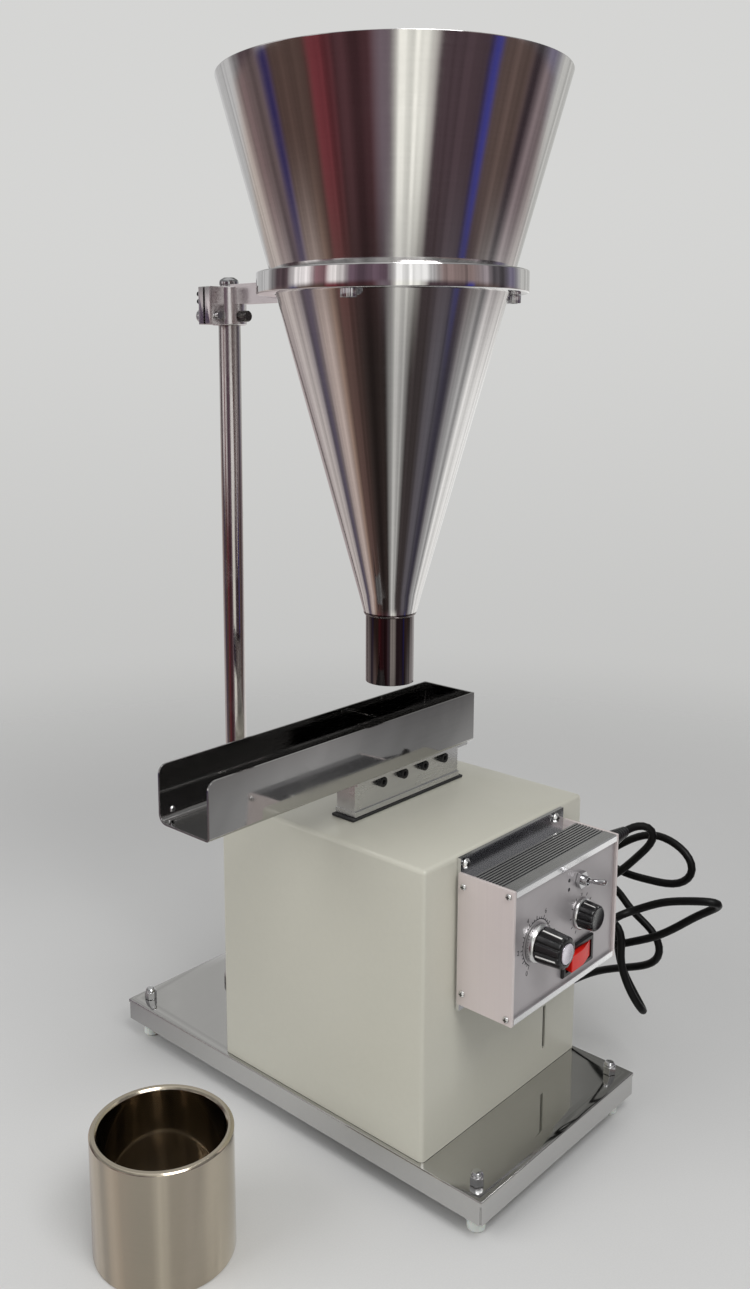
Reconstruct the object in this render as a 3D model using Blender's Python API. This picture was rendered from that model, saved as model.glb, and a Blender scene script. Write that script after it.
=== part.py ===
"""Bench-top vibratory feeder: hopper funnel, open trough on an electromagnetic drive, and its controller.

Metres, +Z up, X to the right, -Y to the discharge end. Every size and place is measured from the
centre of the base tray on the floor, and one empty then moves the whole machine so that the origin
lies under the middle of its bounding box.
"""
import math

import bmesh
import bpy
import numpy as np
from mathutils import Matrix, Vector

MM = 0.001
GAP = 0.3 * MM                  # kept between pieces that touch
RUNNING = 0.5 * MM              # kept beside a piece that moves

# ---- base tray and feet
TRAY_LENGTH = 334 * MM          # along X
TRAY_DEPTH = 178 * MM           # along Y
TRAY_TOP = 29 * MM
TRAY_FLANGE = 16 * MM
TRAY_SHEET = 1.5 * MM
FOOT_INSET = 12 * MM
FOOT_RADIUS = 5.8 * MM
STUD_RADIUS = 2.4 * MM
NUT_ACROSS = 8 * MM
NUT_HEIGHT = 5.5 * MM
NUT_DOME = 3.2 * MM

# ---- cabinet
CABINET_LEFT = -59 * MM
CABINET_RIGHT = 120 * MM
CABINET_FRONT_INSET = 3 * MM    # behind the tray's front edge
CABINET_BACK_INSET = 1 * MM
CABINET_HEIGHT = 190 * MM       # above the tray
CABINET_SHEET = 1.5 * MM
CABINET_ROUND = 3 * MM
CABINET_FOOT = 10 * MM          # folded foot flange, inwards
VENT_INSET = 40.5 * MM          # narrow slot in the right side, from the back
VENT_RISE = 17 * MM
VENT_WIDTH = 3.2 * MM
VENT_HEIGHT = 31.3 * MM

# ---- vibratory drive inside the cabinet
SPRING_TILT = math.radians(15)
SPRING_THICK = 1.6 * MM
SPRING_WIDTH = 40 * MM
SPRING_SEAT = 36 * MM           # length of each spring held against the reaction mass
SPRING_CLAMP = 6 * MM           # height of the platform that the springs cover
DRIVE_FRONT = -51.3 * MM        # front spring's seat, at the reaction mass's top
DRIVE_SPACING = 89 * MM         # from the front spring's seat to the rear spring's seat
ISOLATOR_HEIGHT = 8.4 * MM
DRIVE_ROOM = 82 * MM            # from the reaction mass up to the platform
DRIVE_BASE_WIDTH = 64 * MM
PLATFORM_DROP = 29 * MM         # platform's top below the cabinet's top
PLATFORM_THICK = 8 * MM
MAGNET_Y = 5 * MM
MAGNET_WIDTH = 32 * MM
MAGNET_BACKING = 12 * MM
LEG_WIDTH = 16 * MM
LEG_SPREAD = 24 * MM            # centre leg to side leg
AIR_GAP = 1.8 * MM
ARMATURE_HEIGHT = 11.7 * MM
COIL_WALL = 7.5 * MM

# ---- trough and its bracket
TROUGH_X = 29.5 * MM
TROUGH_WIDTH = 44 * MM
TROUGH_HEIGHT = 35.3 * MM
TROUGH_RISE = 31.1 * MM         # underside above the cabinet's top
TROUGH_FRONT = -192.8 * MM
TROUGH_BACK = 54.1 * MM
TROUGH_SHEET = 1.2 * MM
TROUGH_BEND = 4.5 * MM
TROUGH_CORNER = 6 * MM
BRACKET_FRONT = -56 * MM
BRACKET_BACK = 55 * MM
BRACKET_WIDTH = 16 * MM
BRACKET_LEDGE = 3.4 * MM
SADDLE_WIDTH = 25 * MM
SADDLE_HEIGHT = 5.8 * MM
STEM_WIDTH = 12 * MM
STEM_LENGTH = 100 * MM
GASKET_WIDTH = 19.2 * MM
GASKET_LENGTH = 117.6 * MM
GASKET_RISE = 2 * MM
GASKET_LIP = 1.6 * MM           # overlap on the cabinet's top
BRACKET_SCREW_RADIUS = 3.6 * MM
BRACKET_SCREW_HEAD = 3.8 * MM
BRACKET_SCREW_SHANK = 2 * MM
BRACKET_SCREW_PITCH = 22 * MM
BRACKET_SCREW_FIRST = -31 * MM
BRACKET_SCREW_RISE = 21 * MM    # above the cabinet's top

# ---- post, clamp and arm
POST_X = -124.3 * MM
POST_Y = -11.7 * MM
POST_RADIUS = 8 * MM
POST_PROUD = 0.5 * MM           # above the clamp
POST_FLANGE_RADIUS = 17 * MM
POST_FLANGE = 6 * MM
CLAMP_WALL = 4.2 * MM
CLAMP_HEIGHT = 27 * MM
CLAMP_DROP = 2.6 * MM           # clamp's top below the ring's
CLAMP_SLIT = 2 * MM
EAR_WIDTH = 13 * MM
EAR_REACH = 11.5 * MM           # ears' ends beyond the clamp's round body
EAR_SCREW_REACH = 5 * MM        # screw's axis beyond the clamp's round body
EAR_SCREW_DROP = 20.5 * MM      # screw's axis below the clamp's top
ARM_THICK = 10 * MM
ARM_HEIGHT = 14 * MM

# ---- funnel and ring
FUNNEL_Y = -11.7 * MM
FUNNEL_RIM_RADIUS = 110.2 * MM
FUNNEL_NECK_STEP = 1 * MM       # cone's neck wider than the spout
CONE_HEIGHT = 338.2 * MM
SPOUT_RADIUS = 16.2 * MM
SPOUT_LENGTH = 46.4 * MM
SPOUT_CLEARANCE = 18.2 * MM     # above the trough's walls
FUNNEL_SHEET = 1.2 * MM
RING_BAND = 8.6 * MM           # ring's width at its top
RING_RISE = 220.1 * MM          # ring's top above the neck
RING_HEIGHT = 13.6 * MM
RING_SCREW_RADIUS = 5 * MM
RING_SCREW_HEAD = 5 * MM
RING_SCREW_ANGLES = (-68, 52, 172)

# ---- controller box
BOX_DEPTH = 43.2 * MM           # along X, out from the cabinet
BOX_FRONT = -57 * MM
BOX_BACK = 62 * MM
BOX_HEIGHT = 85.5 * MM
BOX_DROP = 9 * MM               # below the cabinet's top
BOX_WALL = 2.5 * MM
EAR_THICK = 2.5 * MM
EAR_TOP = 8 * MM                # ear above the box
EAR_BOTTOM = 6 * MM
VALLEY_DEPTH = 4 * MM           # channel between the ear and the ribs
VALLEY_WIDTH = 10 * MM
BAND_WIDTH = 9 * MM             # smooth band in front of the ribs
RIB_HEIGHT = 0.8 * MM
RIB_COUNT = 9
LIP_DEPTH = 1.4 * MM
LIP_COVER = 2 * MM
PANEL_THICK = 2 * MM
END_PLATE = 2 * MM
CORNER_BLOCK = 7 * MM
END_SCREW_RADIUS = 2.1 * MM
END_SCREW_INSET = 4 * MM
EAR_SCREW_FRONT = 4 * MM        # from the extrusion's front end
EAR_SCREW_BACK = 11 * MM        # from its rear end

# ---- controls: each axis from the controller's lower front corner, along Y and up
SPEED_KNOB_FROM = (27 * MM, 44 * MM)
FINE_KNOB_FROM = (78 * MM, 44.5 * MM)
TOGGLE_FROM = (75 * MM, 68.5 * MM)
ROCKER_FROM = (73 * MM, 18 * MM)
SKIRT_RADIUS = 12.4 * MM
SKIRT_HEIGHT = 5 * MM
KNOB_RADIUS = 11 * MM
KNOB_HEIGHT = 16 * MM
KNOB_CAP_RADIUS = 6.2 * MM
KNOB_CAP = 1.2 * MM
KNOB_FLUTES = 12
FLUTE_RADIUS = 1.2 * MM
FINE_RADIUS = 9 * MM
FINE_SKIRT_RADIUS = 10.2 * MM
FINE_HEIGHT = 12.5 * MM
SHAFT_RADIUS = 3 * MM
POT_RADIUS = 8 * MM
ROCKER_LENGTH = 36 * MM
ROCKER_HEIGHT = 18 * MM
ROCKER_FRAME = 3 * MM
ROCKER_SWING = math.radians(8)
TOGGLE_SWING = math.radians(12)
TOGGLE_REACH = 13 * MM          # lever's tip beyond its bush

# ---- cords, connectors and plug
CORD_RADIUS = 2.3 * MM
CONNECTOR_FROM = (-13.5 * MM, -12 * MM)     # (X, Z) from the controller's upper front edge
CONNECTOR_LENGTH = 33 * MM
GLAND_FROM = (-15.5 * MM, 11.5 * MM)        # from its lower front edge
GLAND_LENGTH = 25 * MM
GROMMET_AT = (103 * MM, 150 * MM)
GROMMET_RADIUS = 6 * MM
COIL_AT = (-30 * MM, 207 * MM)
COIL_MEAN_RADIUS = 25 * MM
COIL_BUILD = 15 * MM
COIL_HEIGHT = 14.5 * MM
COIL_APPROACH = 18 * MM        # straight run of the lead before it joins the coil
PLUG_LENGTH = 34 * MM
PLUG_WIDTH = 16 * MM
PLUG_THICK = 13 * MM
PIN_RADIUS = 2 * MM
PIN_LENGTH = 19 * MM
PIN_SPACING = 9.5 * MM

# ---- receiving cup
CUP_ASIDE = -1.2 * MM           # from the trough's middle
CUP_AHEAD = 20.5 * MM           # its axis ahead of the trough's end
CUP_RADIUS = 42.1 * MM
CUP_HEIGHT = 76.3 * MM
CUP_WALL = 4.6 * MM
CUP_BASE = 4 * MM
CUP_CHAMFER = 1 * MM

# ---- places worked out from the sizes above
CABINET_FRONT = -TRAY_DEPTH / 2 + CABINET_FRONT_INSET
CABINET_BACK = TRAY_DEPTH / 2 - CABINET_BACK_INSET
CABINET_LOW = TRAY_TOP + GAP
CABINET_TOP = TRAY_TOP + CABINET_HEIGHT
PLATFORM_HIGH = CABINET_TOP - PLATFORM_DROP
PLATFORM_LOW = PLATFORM_HIGH - PLATFORM_THICK
SPRING_HIGH = PLATFORM_LOW + SPRING_CLAMP
DRIVE_LEVEL = PLATFORM_LOW - DRIVE_ROOM
SPRING_LOW = DRIVE_LEVEL - SPRING_SEAT
TROUGH_FLOOR = CABINET_TOP + TROUGH_RISE
BRACKET_SCREW_LEVEL = CABINET_TOP + BRACKET_SCREW_RISE
SPOUT_END = TROUGH_FLOOR + TROUGH_HEIGHT + SPOUT_CLEARANCE
FUNNEL_NECK = SPOUT_END + SPOUT_LENGTH
FUNNEL_NECK_RADIUS = SPOUT_RADIUS + FUNNEL_NECK_STEP
FUNNEL_RIM = FUNNEL_NECK + CONE_HEIGHT
CONE_SLOPE = (FUNNEL_RIM_RADIUS - FUNNEL_NECK_RADIUS) / CONE_HEIGHT
RING_TOP = FUNNEL_NECK + RING_RISE
RING_RADIUS = FUNNEL_NECK_RADIUS + CONE_SLOPE * RING_RISE + RING_BAND
CLAMP_TOP = RING_TOP - CLAMP_DROP
CLAMP_RADIUS = POST_RADIUS + GAP + CLAMP_WALL
EARS_END = POST_Y - CLAMP_RADIUS - EAR_REACH
EAR_SCREW_Y = POST_Y - CLAMP_RADIUS - EAR_SCREW_REACH
POST_TOP = CLAMP_TOP + POST_PROUD
BOX_FACE = CABINET_RIGHT + GAP
BOX_NOSE = BOX_FACE + BOX_DEPTH
BOX_HIGH = CABINET_TOP - BOX_DROP
BOX_LOW = BOX_HIGH - BOX_HEIGHT
SPEED_KNOB_AT = (BOX_FRONT + SPEED_KNOB_FROM[0], BOX_LOW + SPEED_KNOB_FROM[1])
FINE_KNOB_AT = (BOX_FRONT + FINE_KNOB_FROM[0], BOX_LOW + FINE_KNOB_FROM[1])
TOGGLE_AT = (BOX_FRONT + TOGGLE_FROM[0], BOX_LOW + TOGGLE_FROM[1])
ROCKER_AT = (BOX_FRONT + ROCKER_FROM[0], BOX_LOW + ROCKER_FROM[1])
CONNECTOR_AT = (BOX_NOSE + CONNECTOR_FROM[0], BOX_HIGH + CONNECTOR_FROM[1])
GLAND_AT = (BOX_NOSE + GLAND_FROM[0], BOX_LOW + GLAND_FROM[1])
CUP_X = TROUGH_X + CUP_ASIDE
CUP_Y = TROUGH_FRONT - CUP_AHEAD
PANEL_FACE = BOX_NOSE - LIP_DEPTH - GAP
BRACKET_LOW = CABINET_TOP + GASKET_RISE + RUNNING
SADDLE_HIGH = TROUGH_FLOOR - GAP
COIL_OUTER = COIL_MEAN_RADIUS + COIL_BUILD / 2

for old in list(bpy.data.objects):
    bpy.data.objects.remove(old, do_unlink=True)
scene = bpy.context.scene
scene.unit_settings.system = "METRIC"

PAINT = ("cabinet_paint", (0.62, 0.63, 0.56), 0.45, 0.0)
STAINLESS = ("stainless", (0.66, 0.65, 0.63), 0.18, 1.0)
SATIN = ("satin_steel", (0.55, 0.53, 0.49), 0.35, 1.0)
CHROME = ("chrome", (0.75, 0.75, 0.76), 0.08, 1.0)
ALUMINIUM = ("aluminium", (0.70, 0.70, 0.71), 0.38, 1.0)
ZINC = ("zinc_plate", (0.68, 0.69, 0.68), 0.3, 1.0)
IRON = ("cast_iron", (0.16, 0.16, 0.17), 0.6, 0.6)
SPRING_STEEL = ("spring_steel", (0.35, 0.36, 0.40), 0.3, 1.0)
COPPER = ("copper_winding", (0.62, 0.25, 0.10), 0.4, 0.7)
BLACK_STEEL = ("black_oxide", (0.02, 0.02, 0.022), 0.35, 0.6)
RUBBER = ("black_rubber", (0.015, 0.015, 0.016), 0.7, 0.0)
BLACK_PLASTIC = ("black_plastic", (0.012, 0.012, 0.013), 0.35, 0.0)
NYLON = ("milky_nylon", (0.72, 0.72, 0.68), 0.35, 0.0)
RED = ("red_plastic", (0.75, 0.02, 0.01), 0.25, 0.0)
BOARD = ("circuit_board", (0.02, 0.16, 0.05), 0.5, 0.0)

REACH_X = (-TRAY_LENGTH / 2, PANEL_FACE + SKIRT_HEIGHT + KNOB_HEIGHT + KNOB_CAP)
REACH_Y = (CUP_Y - CUP_RADIUS, BOX_BACK + CONNECTOR_LENGTH)
machine = bpy.data.objects.new("machine", None)
machine.location = (-sum(REACH_X) / 2, -sum(REACH_Y) / 2, 0)
scene.collection.objects.link(machine)


# ------------------------------------------------------------------ tools
def material(spec):
    """One Principled material for each finish, made once and shared."""
    name, colour, roughness, metallic = spec
    found = bpy.data.materials.get(name)
    if found:
        return found
    made = bpy.data.materials.new(name)
    made.use_nodes = True
    shader = made.node_tree.nodes["Principled BSDF"]
    shader.inputs["Base Color"].default_value = (*colour, 1)
    shader.inputs["Roughness"].default_value = roughness
    shader.inputs["Metallic"].default_value = metallic
    made.diffuse_color = (*colour, 1)
    return made


def node(name, form, finish, pivot=(0, 0, 0)):
    """Link a finished bmesh as one named object whose origin is at pivot."""
    form.transform(Matrix.Translation(-Vector(pivot)))
    mesh = bpy.data.meshes.new(name)
    form.to_mesh(mesh)
    form.free()
    mesh.materials.append(material(finish))
    mesh.shade_smooth()
    mesh.set_sharp_from_angle(angle=math.radians(32))
    piece = bpy.data.objects.new(name, mesh)
    piece.location = pivot
    piece.parent = machine
    scene.collection.objects.link(piece)
    return piece


def block(low, high, round_edges=0.0, pick=None, steps=2):
    """A box between two corners; pick(edge) says which edges are rounded."""
    form = bmesh.new()
    size = [b - a for a, b in zip(low, high)]
    middle = [(a + b) / 2 for a, b in zip(low, high)]
    bmesh.ops.create_cube(form, size=1, matrix=Matrix.Translation(middle) @ Matrix.Diagonal((*size, 1)))
    if round_edges:
        edges = [e for e in form.edges if pick is None or pick(e)]
        bmesh.ops.bevel(form, geom=edges, offset=round_edges, segments=steps, profile=0.5,
                        affect="EDGES", clamp_overlap=True)
    return form


def prism(outline, axis, low, high):
    """Extrude a closed outline along X, Y or Z. Its points are the other two coordinates, in order."""
    place = {
        "X": lambda a, b, t: (t, a, b),
        "Y": lambda a, b, t: (a, t, b),
        "Z": lambda a, b, t: (a, b, t),
    }[axis]
    form = bmesh.new()
    face = form.faces.new([form.verts.new(place(a, b, low)) for a, b in outline])
    shift = Vector(place(0, 0, high)) - Vector(place(0, 0, low))
    grown = bmesh.ops.extrude_face_region(form, geom=[face])
    far = [v for v in grown["geom"] if isinstance(v, bmesh.types.BMVert)]
    bmesh.ops.translate(form, vec=shift, verts=far)
    bmesh.ops.recalc_face_normals(form, faces=form.faces)
    return form


def turned(profile, at, axis="Z", segments=32, ripple=None):
    """Turn a profile of (radius, height) points about an axis through at. ripple(angle) scales radii."""
    frame = {
        "X": Matrix(((0, 0, 1), (1, 0, 0), (0, 1, 0))),
        "Y": Matrix(((0, 1, 0), (0, 0, 1), (1, 0, 0))),
        "Z": Matrix.Identity(3),
    }[axis]
    closed = profile[0][0] > 0
    flat_start = not closed and profile[0][1] == profile[1][1]
    flat_end = not closed and profile[-1][1] == profile[-2][1]
    form = bmesh.new()
    rings = []
    for radius, height in profile[int(flat_start):len(profile) - int(flat_end)]:
        if radius == 0:
            rings.append([form.verts.new(frame @ Vector((0, 0, height)) + Vector(at))])
            continue
        ring = []
        for step in range(segments):
            angle = 2 * math.pi * step / segments
            reach = radius * (ripple(angle, radius) if ripple else 1)
            local = Vector((reach * math.cos(angle), reach * math.sin(angle), height))
            ring.append(form.verts.new(frame @ local + Vector(at)))
        rings.append(ring)
    for flat, ring in ((flat_start, rings[0]), (flat_end, rings[-1])):
        if flat:
            form.faces.new(ring)
    pairs = list(zip(rings, rings[1:] + rings[:1] if closed else rings[1:]))
    for one, two in pairs:
        for step in range(segments):
            ahead = (step + 1) % segments
            corners = [one[step % len(one)], one[ahead % len(one)], two[ahead % len(two)],
                       two[step % len(two)]]
            form.faces.new(list(dict.fromkeys(corners)))
    bmesh.ops.recalc_face_normals(form, faces=form.faces)
    return form


def rod(radius, low, high, at, axis="Z", segments=24, chamfer=0.0):
    """A solid cylinder with optional chamfers, along an axis through at."""
    if chamfer:
        profile = [(0, low), (radius - chamfer, low), (radius, low + chamfer), (radius, high - chamfer),
                   (radius - chamfer, high), (0, high)]
    else:
        profile = [(0, low), (radius, low), (radius, high), (0, high)]
    return turned(profile, at, axis, segments)


def combine(first, others, operation):
    """Boolean a bmesh with others, in order, and hand back a bmesh."""
    base_mesh = bpy.data.meshes.new("work")
    first.to_mesh(base_mesh)
    first.free()
    work = bpy.data.objects.new("work", base_mesh)
    scene.collection.objects.link(work)
    helpers = []
    for form in others:
        mesh = bpy.data.meshes.new("helper")
        form.to_mesh(mesh)
        form.free()
        helper = bpy.data.objects.new("helper", mesh)
        helper.hide_render = True
        helper.display_type = "WIRE"
        scene.collection.objects.link(helper)
        helpers.append(helper)
        modifier = work.modifiers.new("boolean", "BOOLEAN")
        modifier.operation = operation
        modifier.solver = "EXACT"
        modifier.object = helper
    graph = bpy.context.evaluated_depsgraph_get()
    result = bpy.data.meshes.new_from_object(work.evaluated_get(graph))
    form = bmesh.new()
    form.from_mesh(result)
    for helper in helpers:
        bpy.data.objects.remove(helper, do_unlink=True)
    bpy.data.objects.remove(work, do_unlink=True)
    return form


def cut(form, *cutters):
    return combine(form, cutters, "DIFFERENCE")


def join(form, *others):
    return combine(form, others, "UNION")


def hexagon(across, at, low, high, axis):
    radius = across / math.sqrt(3)
    return turned([(0, low), (radius, low), (radius, high), (0, high)], at, axis, 6)


def socket_screw(head_radius, head_height, shank_radius, shank_length, at, axis, outward):
    """A socket-head screw; its head stands on the seat at 'at' and points along outward = 1 or -1."""
    head = [(0, 0), (head_radius, 0), (head_radius, head_height * 0.88),
            (head_radius * 0.9, head_height), (head_radius * 0.5, head_height),
            (head_radius * 0.5, head_height * 0.45), (0, head_height * 0.45)]
    shank = [(0, -shank_length), (shank_radius, -shank_length), (shank_radius, 0)]
    profile = shank + head[1:]
    if outward < 0:
        profile = [(r, -h) for r, h in profile]
    return turned(profile, at, axis, 14)


def smooth_route(points, spacing):
    """A Catmull-Rom curve through the route's points, sampled at an even spacing."""
    way = [Vector(p) for p in points]
    way = [2 * way[0] - way[1]] + way + [2 * way[-1] - way[-2]]
    dense = []
    for p0, p1, p2, p3 in zip(way, way[1:], way[2:], way[3:]):
        for step in range(24):
            t = step / 24
            dense.append(0.5 * (2 * p1 + (p2 - p0) * t + (2 * p0 - 5 * p1 + 4 * p2 - p3) * t * t
                                + (3 * p1 - p0 - 3 * p2 + p3) * t * t * t))
    dense.append(way[-2])
    run = np.concatenate([[0], np.cumsum([(b - a).length for a, b in zip(dense, dense[1:])])])
    count = max(2, round(run[-1] / spacing))
    marks = np.linspace(0, run[-1], count + 1)
    table = np.array(dense)
    return [tuple(np.interp(mark, run, table[:, k]) for k in range(3)) for mark in marks]


def cord(name, points, finish):
    """A plain tube with filled ends along the smoothed route."""
    curve = bpy.data.curves.new(name, "CURVE")
    curve.dimensions = "3D"
    curve.bevel_depth = CORD_RADIUS
    curve.bevel_resolution = 2
    curve.use_fill_caps = True
    route = smooth_route(points, 2.2 * 2 * CORD_RADIUS)
    line = curve.splines.new("POLY")
    line.points.add(len(route) - 1)
    for spot, place in zip(line.points, route):
        spot.co = (*place, 1)
    curve.materials.append(material(finish))
    piece = bpy.data.objects.new(name, curve)
    piece.parent = machine
    scene.collection.objects.link(piece)
    return piece


# ------------------------------------------------------------------ base
def foot_places():
    reach_x = TRAY_LENGTH / 2 - FOOT_INSET
    reach_y = TRAY_DEPTH / 2 - FOOT_INSET
    return {
        "front_left": (-reach_x, -reach_y),
        "front_right": (reach_x, -reach_y),
        "rear_left": (-reach_x, reach_y),
        "rear_right": (reach_x, reach_y),
    }


def make_tray():
    """Folded stainless tray: a plate with a skirt, slit at its corners, holed for feet and post."""
    half_x = TRAY_LENGTH / 2
    half_y = TRAY_DEPTH / 2
    low = TRAY_TOP - TRAY_FLANGE
    top_edge = TRAY_TOP - 1e-6
    form = block((-half_x, -half_y, low), (half_x, half_y, TRAY_TOP), 1 * MM,
                 lambda e: all(v.co.z > top_edge for v in e.verts))
    hollow = block((-half_x + TRAY_SHEET, -half_y + TRAY_SHEET, low - 5 * MM),
                   (half_x - TRAY_SHEET, half_y - TRAY_SHEET, TRAY_TOP - TRAY_SHEET))
    cutters = [hollow]
    slit = 0.8 * TRAY_SHEET
    for side_x in (-1, 1):
        for side_y in (-1, 1):
            corner = Vector((side_x * half_x, side_y * half_y, 0))
            near = corner - Vector((side_x * slit, side_y * slit, 0))
            far = corner + Vector((side_x * 5 * MM, side_y * 5 * MM, 0))
            cutters.append(block((min(near.x, far.x), min(near.y, far.y), low - 5 * MM),
                                 (max(near.x, far.x), max(near.y, far.y), TRAY_TOP - 2 * TRAY_SHEET)))
    for x, y in foot_places().values():
        cutters.append(rod(STUD_RADIUS + GAP, TRAY_TOP - 5 * MM, TRAY_TOP + 5 * MM, (x, y, 0),
                           segments=16))
    cutters.append(rod(POST_RADIUS * 0.75 + GAP, TRAY_TOP - 5 * MM, TRAY_TOP + 5 * MM,
                       (POST_X, POST_Y, 0)))
    node("base_tray", cut(form, *cutters), STAINLESS)


def make_feet():
    """Nylon feet on studs through the tray, each held by a domed nut on top."""
    under = TRAY_TOP - TRAY_SHEET - GAP
    stud_top = TRAY_TOP + NUT_HEIGHT
    for place, (x, y) in foot_places().items():
        profile = [(0, 0), (FOOT_RADIUS - 1 * MM, 0), (FOOT_RADIUS, 1 * MM), (FOOT_RADIUS, under),
                   (STUD_RADIUS, under), (STUD_RADIUS, stud_top), (0, stud_top)]
        node("foot_" + place, turned(profile, (x, y, 0), segments=20), NYLON)
        seat = TRAY_TOP + GAP
        body = hexagon(NUT_ACROSS, (x, y, 0), seat, seat + NUT_HEIGHT, "Z")
        cap_radius = NUT_ACROSS * 0.47
        cap = [(0, seat + NUT_HEIGHT - 1 * MM), (cap_radius, seat + NUT_HEIGHT - 1 * MM),
               (cap_radius, seat + NUT_HEIGHT + NUT_DOME * 0.4),
               (cap_radius * 0.75, seat + NUT_HEIGHT + NUT_DOME * 0.8),
               (0, seat + NUT_HEIGHT + NUT_DOME)]
        thread = rod(STUD_RADIUS + GAP, seat - 2 * MM, stud_top + 2 * GAP, (x, y, 0), segments=16)
        node("foot_nut_" + place, cut(join(body, turned(cap, (x, y, 0), segments=18)), thread), ZINC)


# ------------------------------------------------------------------ cabinet
def make_cabinet():
    """Painted sheet cover, open below inside a folded foot flange."""
    low = CABINET_LOW
    high = CABINET_TOP
    below = low + 1e-6
    outer = block((CABINET_LEFT, CABINET_FRONT, low), (CABINET_RIGHT, CABINET_BACK, high), CABINET_ROUND,
                  lambda e: not all(v.co.z < below for v in e.verts), 3)
    inset = CABINET_SHEET
    inner = block((CABINET_LEFT + inset, CABINET_FRONT + inset, low + inset),
                  (CABINET_RIGHT - inset, CABINET_BACK - inset, high - inset),
                  CABINET_ROUND - CABINET_SHEET, None, 2)
    mouth = block((CABINET_LEFT + CABINET_FOOT, CABINET_FRONT + CABINET_FOOT, low - 5 * MM),
                  (CABINET_RIGHT - CABINET_FOOT, CABINET_BACK - CABINET_FOOT, low + 5 * MM))
    slot_x = GASKET_WIDTH / 2 - GASKET_LIP
    slot_y = GASKET_LENGTH / 2 - GASKET_LIP
    slot = block((TROUGH_X - slot_x, -slot_y, high - 5 * MM), (TROUGH_X + slot_x, slot_y, high + 5 * MM))
    vent_y = CABINET_BACK - VENT_INSET
    vent_z = CABINET_LOW + VENT_RISE
    vent = block((CABINET_RIGHT - 5 * MM, vent_y - VENT_WIDTH / 2, vent_z),
                 (CABINET_RIGHT + 5 * MM, vent_y + VENT_WIDTH / 2, vent_z + VENT_HEIGHT))
    cutters = [inner, mouth, slot, vent]
    for y, z in ear_screw_places():
        cutters.append(rod(STUD_RADIUS, -5 * MM, 5 * MM, (CABINET_RIGHT, y, z), "X", 12))
    x, z = GROMMET_AT
    cutters.append(rod(GROMMET_RADIUS - 1 * MM + GAP, -5 * MM, 5 * MM, (x, CABINET_BACK, z), "Y", 20))
    node("cabinet_shell", cut(outer, *cutters), PAINT)


def make_gasket():
    """Rubber frame that lines the slot in the cabinet's top, with a lip on the sheet."""
    low = CABINET_TOP - CABINET_SHEET - 1 * MM
    seat = CABINET_TOP + GAP
    high = CABINET_TOP + GASKET_RISE
    half_x = GASKET_WIDTH / 2
    half_y = GASKET_LENGTH / 2
    inner_x = STEM_WIDTH / 2 + RUNNING
    inner_y = STEM_LENGTH / 2 + 2 * RUNNING
    neck = GASKET_LIP + GAP
    lip = block((TROUGH_X - half_x, -half_y, seat), (TROUGH_X + half_x, half_y, high))
    collar = block((TROUGH_X - half_x + neck, -half_y + neck, low),
                   (TROUGH_X + half_x - neck, half_y - neck, high - 0.2 * MM))
    opening = block((TROUGH_X - inner_x, -inner_y, low - 5 * MM),
                    (TROUGH_X + inner_x, inner_y, high + 5 * MM))
    node("cabinet_gasket", cut(join(lip, collar), opening), RUBBER)


def drive_line(z, rear=False):
    """Y of the spring's seat at height z, on the drive's front or rear face."""
    start = DRIVE_FRONT + (DRIVE_SPACING if rear else 0)
    return start + (z - DRIVE_LEVEL) * math.tan(SPRING_TILT)


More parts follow.
